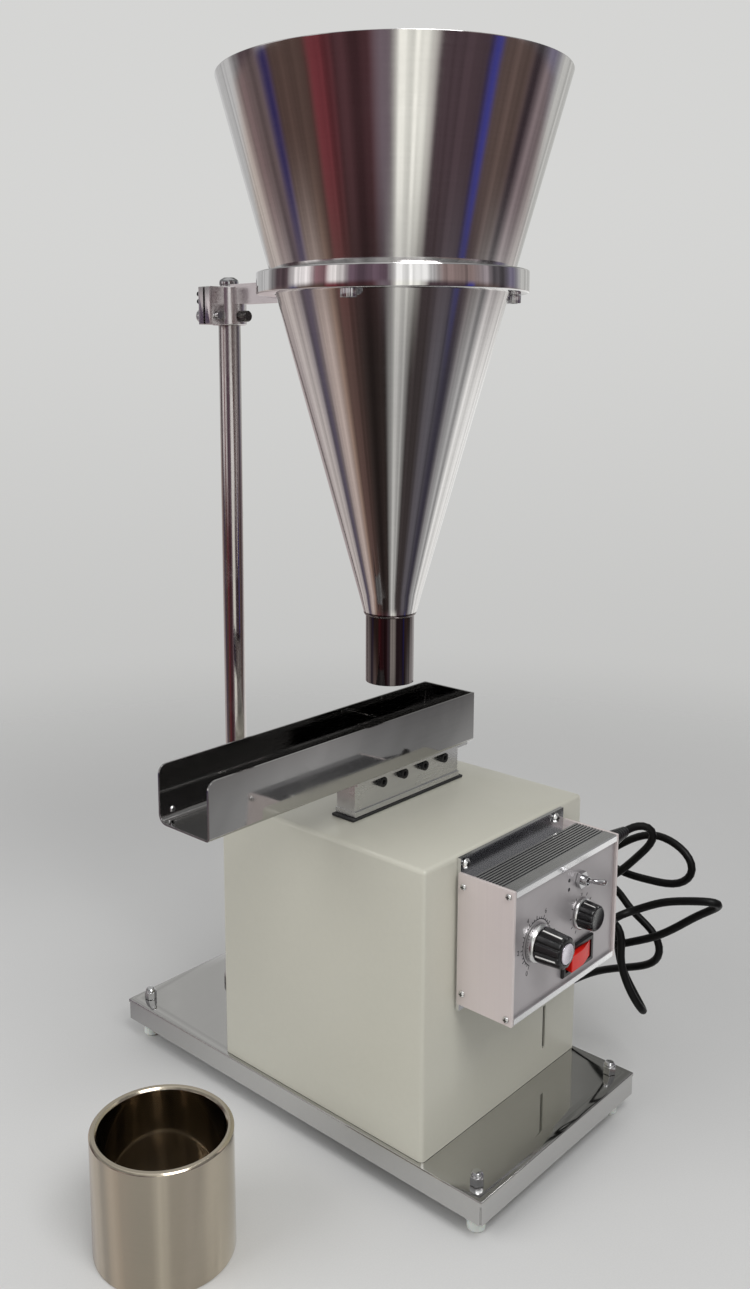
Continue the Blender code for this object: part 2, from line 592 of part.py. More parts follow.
def make_drive():
    """Isolator, reaction mass, leaf springs, magnet, coil and armature."""
    pad_low = TRAY_TOP + GAP
    base_low = TRAY_TOP + ISOLATOR_HEIGHT + 2 * GAP
    base_high = DRIVE_LEVEL
    half = DRIVE_BASE_WIDTH / 2
    front = drive_line(SPRING_LOW)
    back = drive_line(SPRING_LOW, True)
    node("isolator_pad", block((TROUGH_X - half, front, pad_low),
                               (TROUGH_X + half, back, base_low - GAP)), RUBBER)
    outline = [(front, base_low), (back, base_low), (back, SPRING_LOW),
               (drive_line(base_high, True), base_high), (drive_line(base_high), base_high),
               (front, SPRING_LOW)]
    node("vibrator_base", prism(outline, "X", TROUGH_X - half, TROUGH_X + half), IRON)

    for name, rear in (("leaf_spring_front", False), ("leaf_spring_rear", True)):
        near = GAP if rear else -GAP
        far = near + (SPRING_THICK if rear else -SPRING_THICK)
        outline = [(drive_line(SPRING_LOW, rear) + near, SPRING_LOW),
                   (drive_line(SPRING_LOW, rear) + far, SPRING_LOW),
                   (drive_line(SPRING_HIGH, rear) + far, SPRING_HIGH),
                   (drive_line(SPRING_HIGH, rear) + near, SPRING_HIGH)]
        node(name, prism(outline, "X", TROUGH_X - SPRING_WIDTH / 2, TROUGH_X + SPRING_WIDTH / 2),
             SPRING_STEEL)

    armature_high = PLATFORM_LOW - GAP
    armature_low = armature_high - ARMATURE_HEIGHT
    leg_top = armature_low - AIR_GAP
    core_low = base_high + GAP
    yoke_top = core_low + MAGNET_BACKING
    reach = LEG_SPREAD + LEG_WIDTH / 2
    side = reach - LEG_WIDTH / 2
    inner = LEG_WIDTH / 2
    steps = [(-reach, core_low), (reach, core_low), (reach, leg_top), (side, leg_top), (side, yoke_top),
             (inner, yoke_top), (inner, leg_top), (-inner, leg_top), (-inner, yoke_top),
             (-side, yoke_top), (-side, leg_top), (-reach, leg_top)]
    outline = [(MAGNET_Y + y, z) for y, z in steps]
    node("magnet_core", prism(outline, "X", TROUGH_X - MAGNET_WIDTH / 2, TROUGH_X + MAGNET_WIDTH / 2),
         IRON)

    bore_x = MAGNET_WIDTH / 2 + GAP
    bore_y = inner + GAP
    coil = block((TROUGH_X - bore_x - COIL_WALL, MAGNET_Y - bore_y - COIL_WALL, yoke_top + GAP),
                 (TROUGH_X + bore_x + COIL_WALL, MAGNET_Y + bore_y + COIL_WALL, leg_top - 6 * MM),
                 3 * MM, lambda e: abs(e.verts[0].co.z - e.verts[1].co.z) > MM, 3)
    bore = block((TROUGH_X - bore_x, MAGNET_Y - bore_y, yoke_top - 5 * MM),
                 (TROUGH_X + bore_x, MAGNET_Y + bore_y, leg_top + 5 * MM))
    node("magnet_coil", cut(coil, bore), COPPER)
    node("armature", block((TROUGH_X - MAGNET_WIDTH / 2, MAGNET_Y - reach, armature_low),
                           (TROUGH_X + MAGNET_WIDTH / 2, MAGNET_Y + reach, armature_high)), IRON)


# ------------------------------------------------------------------ trough
def make_bracket():
    """Aluminium carrier: platform on the springs, stem through the gasket, ledge, web and saddle."""
    outline = [(drive_line(PLATFORM_LOW), PLATFORM_LOW), (drive_line(PLATFORM_LOW, True), PLATFORM_LOW),
               (drive_line(PLATFORM_HIGH, True), PLATFORM_HIGH),
               (drive_line(PLATFORM_HIGH), PLATFORM_HIGH)]
    platform = prism(outline, "X", TROUGH_X - SPRING_WIDTH / 2, TROUGH_X + SPRING_WIDTH / 2)
    overlap = 0.1 * MM
    ledge_top = BRACKET_LOW + BRACKET_LEDGE
    saddle_low = SADDLE_HIGH - SADDLE_HEIGHT
    half = BRACKET_WIDTH / 2
    ledge_half = half + 0.9 * MM
    ledge = block((TROUGH_X - ledge_half, BRACKET_FRONT, BRACKET_LOW),
                  (TROUGH_X + ledge_half, BRACKET_BACK, ledge_top))
    stem = block((TROUGH_X - STEM_WIDTH / 2, -STEM_LENGTH / 2, PLATFORM_HIGH - overlap),
                 (TROUGH_X + STEM_WIDTH / 2, STEM_LENGTH / 2, BRACKET_LOW + overlap))
    web = block((TROUGH_X - half, BRACKET_FRONT + 0.5 * MM, ledge_top - overlap),
                (TROUGH_X + half, BRACKET_BACK - 0.5 * MM, saddle_low + overlap))
    saddle = block((TROUGH_X - SADDLE_WIDTH / 2, BRACKET_FRONT - 2 * MM, saddle_low),
                   (TROUGH_X + SADDLE_WIDTH / 2, BRACKET_BACK + 5 * MM, SADDLE_HIGH))
    holes = []
    for y in bracket_screw_places():
        mouth = (TROUGH_X + half, y, BRACKET_SCREW_LEVEL)
        holes.append(rod(BRACKET_SCREW_SHANK + GAP, -8 * MM, 8 * MM, mouth, "X", 12))
    node("trough_bracket", cut(join(platform, stem, ledge, web, saddle), *holes), ALUMINIUM)


def bracket_screw_places():
    return [BRACKET_SCREW_FIRST + step * BRACKET_SCREW_PITCH for step in range(4)]


def make_bracket_screws():
    for number, y in enumerate(bracket_screw_places(), 1):
        seat = (TROUGH_X + BRACKET_WIDTH / 2 + GAP, y, BRACKET_SCREW_LEVEL)
        node(f"bracket_screw_{number}",
             socket_screw(BRACKET_SCREW_RADIUS, BRACKET_SCREW_HEAD, BRACKET_SCREW_SHANK, 7 * MM,
                          seat, "X", 1), BLACK_STEEL)


def channel_outline(half, floor, top, bend):
    """U section with rounded lower corners, as (X, Z) points."""
    points = [(half, top)]
    for step in range(5):
        angle = math.radians(-90 * step / 4)
        points.append((half - bend + bend * math.cos(angle), floor + bend + bend * math.sin(angle)))
    return [(TROUGH_X + x, z) for x, z in points] + [(TROUGH_X - x, z) for x, z in reversed(points)]


def make_trough():
    """Folded stainless channel, open at the front, closed at the back, rounded at its front corners."""
    half = TROUGH_WIDTH / 2
    top = TROUGH_FLOOR + TROUGH_HEIGHT
    outer = prism(channel_outline(half, TROUGH_FLOOR, top, TROUGH_BEND), "Y", TROUGH_FRONT, TROUGH_BACK)
    hollow = channel_outline(half - TROUGH_SHEET, TROUGH_FLOOR + TROUGH_SHEET, top + 5 * MM,
                             TROUGH_BEND - TROUGH_SHEET)
    inner = prism(hollow, "Y", TROUGH_FRONT - 5 * MM, TROUGH_BACK - TROUGH_SHEET)
    corner = [(TROUGH_FRONT - 5 * MM, top + 5 * MM), (TROUGH_FRONT - 5 * MM, top - TROUGH_CORNER)]
    for step in range(5):
        angle = math.radians(180 - 90 * step / 4)
        corner.append((TROUGH_FRONT + TROUGH_CORNER + TROUGH_CORNER * math.cos(angle),
                       top - TROUGH_CORNER + TROUGH_CORNER * math.sin(angle)))
    corner.append((TROUGH_FRONT + TROUGH_CORNER, top + 5 * MM))
    rounding = prism(corner, "X", TROUGH_X - half - 5 * MM, TROUGH_X + half + 5 * MM)
    rivet_at = (TROUGH_X - half + TROUGH_SHEET, TROUGH_FRONT + 9.4 * MM, TROUGH_FLOOR + 6.2 * MM)
    rivet = rod(2 * MM, -0.6 * MM, 0.8 * MM, rivet_at, "X", 14)
    node("trough", join(cut(outer, inner, rounding), rivet), STAINLESS)


# ------------------------------------------------------------------ post and arm
def make_post():
    spigot = POST_RADIUS * 0.75
    seat = TRAY_TOP + GAP
    profile = [(0, TRAY_TOP - TRAY_SHEET), (spigot, TRAY_TOP - TRAY_SHEET), (spigot, seat),
               (POST_FLANGE_RADIUS, seat), (POST_FLANGE_RADIUS, seat + POST_FLANGE - 1 * MM),
               (POST_FLANGE_RADIUS - 1 * MM, seat + POST_FLANGE), (POST_RADIUS, seat + POST_FLANGE),
               (POST_RADIUS, POST_TOP - 0.8 * MM), (POST_RADIUS - 0.8 * MM, POST_TOP), (0, POST_TOP)]
    node("post", turned(profile, (POST_X, POST_Y, 0), segments=32), CHROME, (POST_X, POST_Y, 0))
    seat = POST_TOP + GAP
    cap = [(0, seat), (7 * MM, seat), (7 * MM, seat + 3.4 * MM), (5.8 * MM, seat + 5.2 * MM),
           (3.2 * MM, seat + 6.2 * MM), (3.2 * MM, seat + 3 * MM), (0, seat + 3 * MM)]
    node("post_cap", turned(cap, (POST_X, POST_Y, 0), segments=20), CHROME, (POST_X, POST_Y, 0))


def make_arm():
    """Split clamp on the post with two ears, and a flat bar out to the ring."""
    low = CLAMP_TOP - CLAMP_HEIGHT
    ring_face = TROUGH_X - RING_RADIUS
    arm_low = RING_TOP - ARM_HEIGHT - 1 * MM
    body = rod(CLAMP_RADIUS, low, CLAMP_TOP, (POST_X, POST_Y, 0), segments=36, chamfer=0.6 * MM)
    ears = block((POST_X - EAR_WIDTH / 2, EARS_END, low + GAP),
                 (POST_X + EAR_WIDTH / 2, POST_Y - POST_RADIUS * 0.8, CLAMP_TOP - GAP),
                 0.8 * MM, lambda e: all(v.co.y < EARS_END + 1e-6 for v in e.verts))
    bar = block((POST_X + POST_RADIUS * 0.8, POST_Y - ARM_THICK / 2, arm_low),
                (ring_face + 12 * MM, POST_Y + ARM_THICK / 2, arm_low + ARM_HEIGHT))
    bore = rod(POST_RADIUS + GAP, low - 5 * MM, CLAMP_TOP + 5 * MM, (POST_X, POST_Y, 0), segments=36)
    slit = block((POST_X - CLAMP_SLIT / 2, EARS_END - 5 * MM, low - 5 * MM),
                 (POST_X + CLAMP_SLIT / 2, POST_Y, CLAMP_TOP + 5 * MM))
    ring_seat = rod(RING_RADIUS + GAP, arm_low - 5 * MM, RING_TOP + 5 * MM, (TROUGH_X, FUNNEL_Y, 0),
                    segments=72)
    screw_z = CLAMP_TOP - EAR_SCREW_DROP
    ear_hole = rod(2.5 * MM + GAP, -15 * MM, 15 * MM, (POST_X, EAR_SCREW_Y, screw_z), "X", 16)
    set_hole = rod(2 * MM + GAP, 0, 20 * MM, (POST_X, POST_Y, low + 6 * MM), "X", 14)
    node("clamp_arm", cut(join(body, ears, bar), bore, slit, ring_seat, ear_hole, set_hole), ALUMINIUM)

    reach = EAR_WIDTH / 2 + GAP
    knob = [(0, reach + 3 * MM), (2.5 * MM, reach + 3 * MM), (2.5 * MM, -reach), (5 * MM, -reach),
            (5 * MM, -reach - 3.2 * MM), (4.2 * MM, -reach - 5 * MM), (2.4 * MM, -reach - 5 * MM),
            (2.4 * MM, -reach - 2.6 * MM), (0, -reach - 2.6 * MM)]
    centre = (POST_X, EAR_SCREW_Y, screw_z)
    node("clamp_screw", turned(knob, centre, "X", 20), CHROME, centre)
    start = POST_RADIUS + 2 * GAP
    shank = [(0, start), (2 * MM, start), (2 * MM, CLAMP_RADIUS + GAP), (4 * MM, CLAMP_RADIUS + GAP),
             (4 * MM, CLAMP_RADIUS + 7 * MM), (3.4 * MM, CLAMP_RADIUS + 7.8 * MM),
             (0, CLAMP_RADIUS + 7.8 * MM)]
    node("set_screw", turned(shank, (POST_X, POST_Y, low + 6 * MM), "X", 18), BLACK_STEEL)


def cone_radius(z):
    """Outer radius of the funnel's cone at height z."""
    return FUNNEL_NECK_RADIUS + CONE_SLOPE * (z - FUNNEL_NECK)


def make_ring():
    low = RING_TOP - RING_HEIGHT
    profile = [(cone_radius(low) + 1.3 * GAP, low), (RING_RADIUS - 0.6 * MM, low),
               (RING_RADIUS, low + 0.6 * MM), (RING_RADIUS, RING_TOP - 0.6 * MM),
               (RING_RADIUS - 0.6 * MM, RING_TOP), (cone_radius(RING_TOP) + 1.3 * GAP, RING_TOP)]
    form = turned(profile, (TROUGH_X, FUNNEL_Y, 0), segments=72)
    middle = (cone_radius(low) + RING_RADIUS) / 2
    holes = []
    for number, degrees in enumerate(RING_SCREW_ANGLES, 1):
        angle = math.radians(degrees)
        place = (TROUGH_X + middle * math.cos(angle), FUNNEL_Y + middle * math.sin(angle), low - GAP)
        holes.append(rod(2 * MM, -5 * MM, 8 * MM, place, segments=12))
        node(f"ring_screw_{number}",
             socket_screw(RING_SCREW_RADIUS, RING_SCREW_HEAD, 1.7 * MM, 7 * MM, place, "Z", -1), CHROME)
    node("funnel_ring", cut(form, *holes), STAINLESS)


def make_funnel():
    """Thin cone that drops into the ring, with a short straight spout."""
    wall = FUNNEL_SHEET * math.sqrt(1 + CONE_SLOPE ** 2)
    bore = SPOUT_RADIUS - FUNNEL_SHEET
    inner_neck = FUNNEL_NECK + (bore + wall - FUNNEL_NECK_RADIUS) / CONE_SLOPE
    profile = [(SPOUT_RADIUS, SPOUT_END), (SPOUT_RADIUS, FUNNEL_NECK),
               (FUNNEL_NECK_RADIUS, FUNNEL_NECK), (FUNNEL_RIM_RADIUS, FUNNEL_RIM),
               (FUNNEL_RIM_RADIUS - wall, FUNNEL_RIM), (bore, max(inner_neck, FUNNEL_NECK - 3 * MM)),
               (bore, SPOUT_END)]
    node("funnel", turned(profile, (TROUGH_X, FUNNEL_Y, 0), segments=72), STAINLESS,
         (TROUGH_X, FUNNEL_Y, SPOUT_END))


# ------------------------------------------------------------------ controller box
def ear_screw_places():
    level = BOX_HIGH + EAR_TOP / 2
    return [(BOX_FRONT + END_PLATE + GAP + EAR_SCREW_FRONT, level),
            (BOX_BACK - END_PLATE - GAP - EAR_SCREW_BACK, level)]


def end_screw_places():
    """(X, Z) of the screws in an end plate."""
    back = BOX_FACE + EAR_THICK + END_SCREW_INSET
    front = BOX_NOSE - END_SCREW_INSET
    return [(back, BOX_HIGH - VALLEY_DEPTH - END_SCREW_INSET),
            (back, BOX_LOW + VALLEY_DEPTH + END_SCREW_INSET),
            (front, BOX_LOW + END_SCREW_INSET), (front, BOX_HIGH - END_SCREW_INSET)]


def rib_line(start, stop, level, sign):
    """Square ribs along the box, as (X, Z) points from start to stop."""
    pitch = (stop - start) / RIB_COUNT
    points = []
    for step in range(RIB_COUNT):
        x = start + step * pitch
        points += [(x + 0.25 * pitch, level), (x + 0.25 * pitch, level - sign * RIB_HEIGHT),
                   (x + 0.75 * pitch, level - sign * RIB_HEIGHT), (x + 0.75 * pitch, level)]
    return points


def box_half(level, ear, sign):
    """Outline of the extrusion's upper (sign 1) or lower (sign -1) half, from the ear inwards."""
    valley = level - sign * VALLEY_DEPTH
    back = BOX_FACE + EAR_THICK
    valley_end = back + VALLEY_WIDTH
    front = BOX_NOSE - BAND_WIDTH
    inner = level - sign * BOX_WALL
    inner_valley = valley - sign * BOX_WALL
    points = [(BOX_FACE, level + sign * ear), (back, level + sign * ear), (back, valley),
              (valley_end, valley), (valley_end, level)]
    points += rib_line(valley_end + 1 * MM, front, level, sign)
    points += [(BOX_NOSE - 0.8 * MM, level), (BOX_NOSE, level - sign * 0.8 * MM),
               (BOX_NOSE, inner - sign * LIP_COVER), (BOX_NOSE - LIP_DEPTH, inner - sign * LIP_COVER),
               (BOX_NOSE - LIP_DEPTH, inner), (valley_end + BOX_WALL, inner),
               (valley_end + BOX_WALL, inner_valley), (back, inner_valley)]
    return points


def make_box():
    """Ribbed extrusion with two ears, open at the front between two lips, with screw corners behind."""
    low_y = BOX_FRONT + END_PLATE + GAP
    high_y = BOX_BACK - END_PLATE - GAP
    outline = box_half(BOX_HIGH, EAR_TOP, 1) + box_half(BOX_LOW, EAR_BOTTOM, -1)[::-1]
    form = prism(outline, "Y", low_y, high_y)
    blocks = []
    holes = []
    for x, z in end_screw_places()[:2]:
        half = CORNER_BLOCK / 2
        blocks.append(block((BOX_FACE + EAR_THICK - 0.5 * MM, low_y, z - half),
                            (x + half, high_y, z + half)))
        holes.append(rod(1.2 * MM + GAP, low_y - 5 * MM, low_y + 8 * MM, (x, 0, z), "Y", 12))
    for y, z in ear_screw_places():
        holes.append(rod(STUD_RADIUS, -5 * MM, 8 * MM, (BOX_FACE, y, z), "X", 12))
    node("box_extrusion", cut(join(form, *blocks), *holes), ALUMINIUM)


def make_end_plates():
    low_x = BOX_FACE + EAR_THICK
    for name, face in (("end_plate_front", BOX_FRONT), ("end_plate_rear", BOX_BACK - END_PLATE)):
        form = block((low_x, face, BOX_LOW), (BOX_NOSE, face + END_PLATE, BOX_HIGH), 0.5 * MM,
                     lambda e: abs(e.verts[0].co.y - e.verts[1].co.y) > MM)
        holes = []
        for x, z in end_screw_places():
            holes.append(rod(1.2 * MM + GAP, -5 * MM, 5 * MM, (x, face, z), "Y", 12))
        if name == "end_plate_rear":
            holes = []
            for x, z in (CONNECTOR_AT, GLAND_AT):
                holes.append(rod(5 * MM + GAP, -5 * MM, 5 * MM, (x, face, z), "Y", 20))
        node(name, cut(form, *holes), ALUMINIUM)
    seat = BOX_FRONT - GAP
    for number, (x, z) in enumerate(end_screw_places(), 1):
        profile = [(0, 7 * MM), (1.2 * MM, 7 * MM), (1.2 * MM, 0), (END_SCREW_RADIUS, 0),
                   (END_SCREW_RADIUS, -0.5 * MM), (END_SCREW_RADIUS * 0.6, -1.2 * MM), (0, -1.2 * MM)]
        if x > BOX_NOSE - 2 * END_SCREW_INSET:
            profile[0] = (0, END_PLATE)
            profile[1] = (1.2 * MM, END_PLATE)
        node(f"end_screw_{number}", turned(profile, (x, seat, z), "Y", 14), ZINC)


def make_ear_screws():
    for number, (y, z) in enumerate(ear_screw_places(), 1):
        seat = BOX_FACE + EAR_THICK + GAP
        profile = [(0, -7 * MM), (1.9 * MM, -7 * MM), (1.9 * MM, 0), (3.4 * MM, 0),
                   (3.4 * MM, 1.2 * MM), (2.4 * MM, 2.4 * MM), (0, 2.6 * MM)]
        node(f"ear_screw_{number}", turned(profile, (seat, y, z), "X", 18), ZINC)


def make_panel():
    """Front panel behind the lips, with holes for the controls."""
    clear = BOX_WALL + GAP
    form = block((PANEL_FACE - PANEL_THICK, BOX_FRONT + END_PLATE + 2 * GAP, BOX_LOW + clear),
                 (PANEL_FACE, BOX_BACK - END_PLATE - 2 * GAP, BOX_HIGH - clear))
    holes = []
    for y, z in (SPEED_KNOB_AT, FINE_KNOB_AT, TOGGLE_AT):
        holes.append(rod(SHAFT_RADIUS + 0.6 * MM, -6 * MM, 6 * MM, (PANEL_FACE, y, z), "X", 20))
    y, z = ROCKER_AT
    half_y = ROCKER_LENGTH / 2 - ROCKER_FRAME / 2 + GAP
    half_z = ROCKER_HEIGHT / 2 - ROCKER_FRAME / 2 + GAP
    holes.append(block((PANEL_FACE - 6 * MM, y - half_y, z - half_z),
                       (PANEL_FACE + 6 * MM, y + half_y, z + half_z)))
    node("front_panel", cut(form, *holes), ALUMINIUM)


def make_board():
    """Circuit board on the controller's back wall, with both potentiometers and their shafts."""
    face = BOX_FACE + EAR_THICK + 14 * MM
    board = block((face, BOX_FRONT + 12 * MM, BOX_LOW + 16 * MM),
                  (face + 1.6 * MM, BOX_BACK - 12 * MM, BOX_HIGH - 16 * MM))
    forms = []
    for (y, z), tip in ((SPEED_KNOB_AT, SKIRT_HEIGHT + KNOB_HEIGHT - 4 * MM),
                        (FINE_KNOB_AT, FINE_HEIGHT - 4 * MM)):
        can = PANEL_FACE - PANEL_THICK - 4 * MM
        profile = [(0, face + 1 * MM), (POT_RADIUS, face + 1 * MM), (POT_RADIUS, can),
                   (SHAFT_RADIUS, can), (SHAFT_RADIUS, PANEL_FACE + tip), (0, PANEL_FACE + tip)]
        forms.append(turned(profile, (0, y, z), "X", 20))
    for side in (-1, 1):
        y = (BOX_FRONT + BOX_BACK) / 2 + side * 30 * MM
        forms.append(rod(2.5 * MM, BOX_FACE + EAR_THICK + GAP, face + 0.5 * MM,
                         (0, y, BOX_LOW + 26 * MM), "X", 12))
    node("circuit_board", join(board, *forms), BOARD)


# ------------------------------------------------------------------ controls
def flutes(angle, radius):
    """Shallow grip flutes round a knob."""
    return 1 - (FLUTE_RADIUS / radius) * 0.5 * (1 - math.cos(KNOB_FLUTES * angle)) ** 2 / 4


def make_knobs():
    y, z = SPEED_KNOB_AT
    pivot = (PANEL_FACE, y, z)
    bore = SHAFT_RADIUS + GAP
    seat = GAP + 0.3 * MM
    skirt = [(bore, seat), (SKIRT_RADIUS, seat), (SKIRT_RADIUS, SKIRT_HEIGHT * 0.55),
             (SKIRT_RADIUS - 1.2 * MM, SKIRT_HEIGHT), (bore, SKIRT_HEIGHT)]
    node("knob_skirt", turned(skirt, pivot, "X", 36), CHROME, pivot)
    low = SKIRT_HEIGHT + GAP
    high = SKIRT_HEIGHT + KNOB_HEIGHT
    floor = high - 3.4 * MM
    grip = [(0, floor), (bore, floor), (bore, low), (KNOB_RADIUS, low),
            (KNOB_RADIUS * 0.9, high - 1.2 * MM), (KNOB_RADIUS * 0.8, high), (KNOB_CAP_RADIUS, high),
            (KNOB_CAP_RADIUS, high + KNOB_CAP), (0, high + KNOB_CAP)]
    least = KNOB_RADIUS * 0.85
    form = turned(grip, pivot, "X", 48, lambda a, r: flutes(a, r) if r > least else 1)
    node("speed_knob", form, BLACK_PLASTIC, pivot)
    y, z = FINE_KNOB_AT
    pivot = (PANEL_FACE, y, z)
    floor = FINE_HEIGHT - 3.4 * MM
    grip = [(0, floor), (bore, floor), (bore, seat), (FINE_SKIRT_RADIUS, seat),
            (FINE_SKIRT_RADIUS, 1.8 * MM), (FINE_RADIUS, 2.6 * MM),
            (FINE_RADIUS * 0.92, FINE_HEIGHT - 1 * MM), (FINE_RADIUS * 0.82, FINE_HEIGHT),
            (0, FINE_HEIGHT)]
    least = FINE_RADIUS * 0.88
    most = FINE_RADIUS * 1.05
    form = turned(grip, pivot, "X", 48, lambda a, r: flutes(a, r) if least < r < most else 1)
    node("fine_knob", form, BLACK_PLASTIC, pivot)


def make_toggle():
    y, z = TOGGLE_AT
    pivot = (PANEL_FACE + 4.2 * MM, y, z)
    bush_end = PANEL_FACE + 6.2 * MM
    body = block((PANEL_FACE - PANEL_THICK - 12 * MM, y - 4 * MM, z - 6 * MM),
                 (PANEL_FACE - PANEL_THICK - GAP, y + 4 * MM, z + 6 * MM))
    bush = rod(SHAFT_RADIUS, PANEL_FACE - PANEL_THICK - 3 * MM, bush_end, (0, y, z), "X", 20)
    nut = hexagon(10 * MM, (0, y, z), PANEL_FACE + GAP, PANEL_FACE + 2.8 * MM, "X")
    mouth = rod(2.4 * MM, pivot[0] - 2.4 * MM, bush_end + 5 * MM, (0, y, z), "X", 20)
    node("toggle_bush", cut(join(body, bush, nut), mouth), CHROME)
    ball = 1.9 * MM
    reach = bush_end - pivot[0] + TOGGLE_REACH
    profile = [(0, -ball), (ball * 0.7, -ball * 0.7), (ball, 0), (ball * 0.75, ball * 0.6),
               (1.1 * MM, 1.6 * MM), (1.9 * MM, reach - 1.6 * MM), (1.5 * MM, reach - 0.4 * MM),
               (0, reach)]
    lever = turned(profile, (0, 0, 0), "X", 16)
    lever.transform(Matrix.Translation(pivot) @ Matrix.Rotation(-TOGGLE_SWING, 4, "Y"))
    node("toggle_lever", lever, CHROME, pivot)


def make_rocker():
    """Snap-in frame through the panel, and the two-way button that rocks about an upright pin."""
    y, z = ROCKER_AT
    half_y = ROCKER_LENGTH / 2
    half_z = ROCKER_HEIGHT / 2
    seat = PANEL_FACE + GAP
    face = seat + 2 * MM
    body_y = half_y - ROCKER_FRAME / 2
    body_z = half_z - ROCKER_FRAME / 2
    window_y = half_y - ROCKER_FRAME
    window_z = half_z - ROCKER_FRAME
    back = PANEL_FACE - 15 * MM
    rim = block((seat, y - half_y, z - half_z), (face, y + half_y, z + half_z), 0.8 * MM,
                lambda e: all(v.co.x > face - 1e-6 for v in e.verts))
    body = block((back, y - body_y, z - body_z), (seat + 0.5 * MM, y + body_y, z + body_z))
    well = block((back + 2 * MM, y - window_y, z - window_z), (face + 5 * MM, y + window_y, z + window_z))
    node("rocker_bezel", cut(join(rim, body), well), BLACK_PLASTIC)
    pivot = (PANEL_FACE - 2 * MM, y, z)
    half = window_y - 1 * MM
    rise = 5.5 * MM
    shape = [(-4 * MM, -half * 0.8), (rise, -half), (rise + 1.6 * MM, 0), (rise, half),
             (-4 * MM, half * 0.8)]
    button = prism(shape, "Z", -(window_z - RUNNING), window_z - RUNNING)
    button.transform(Matrix.Translation(pivot) @ Matrix.Rotation(ROCKER_SWING, 4, "Z"))
    node("rocker_button", button, RED, pivot)


# ------------------------------------------------------------------ leads
def make_connectors():
    """Screw connector for the vibrator lead, gland for the mains lead, and the cabinet's grommet."""
    through = BOX_BACK - END_PLATE - 3 * MM
    outside = BOX_BACK + GAP
    x, z = CONNECTOR_AT
    end = BOX_BACK + CONNECTOR_LENGTH
    profile = [(0, through), (5 * MM, through), (5 * MM, outside), (7.5 * MM, outside),
               (7.5 * MM, outside + 3 * MM), (6 * MM, outside + 3.5 * MM), (6 * MM, outside + 9 * MM),
               (6.6 * MM, outside + 9.6 * MM), (6.6 * MM, end - 9 * MM), (5 * MM, end - 7.5 * MM),
               (4.6 * MM, end - 1 * MM), (3.6 * MM, end), (0, end)]
    node("vibrator_connector", turned(profile, (x, 0, z), "Y", 18), CHROME)
    x, z = GLAND_AT
    end = BOX_BACK + GLAND_LENGTH
    profile = [(0, through), (5 * MM, through), (5 * MM, outside), (7 * MM, outside),
               (7 * MM, outside + 4 * MM), (6.2 * MM, outside + 4.5 * MM),
               (6.2 * MM, outside + 13 * MM), (4.4 * MM, end - 7 * MM), (3.4 * MM, end), (0, end)]
    node("mains_gland", turned(profile, (x, 0, z), "Y", 18), BLACK_PLASTIC)
    x, z = GROMMET_AT
    inside = CABINET_BACK - CABINET_SHEET - 1.5 * MM
    outside = CABINET_BACK + GAP
    profile = [(0, inside), (GROMMET_RADIUS - 1 * MM, inside), (GROMMET_RADIUS - 1 * MM, outside),
               (GROMMET_RADIUS, outside), (GROMMET_RADIUS, outside + 1.2 * MM),
               (GROMMET_RADIUS * 0.7, outside + 2.4 * MM), (0, outside + 2.4 * MM)]
    node("cabinet_grommet", turned(profile, (x, 0, z), "Y", 18), RUBBER)


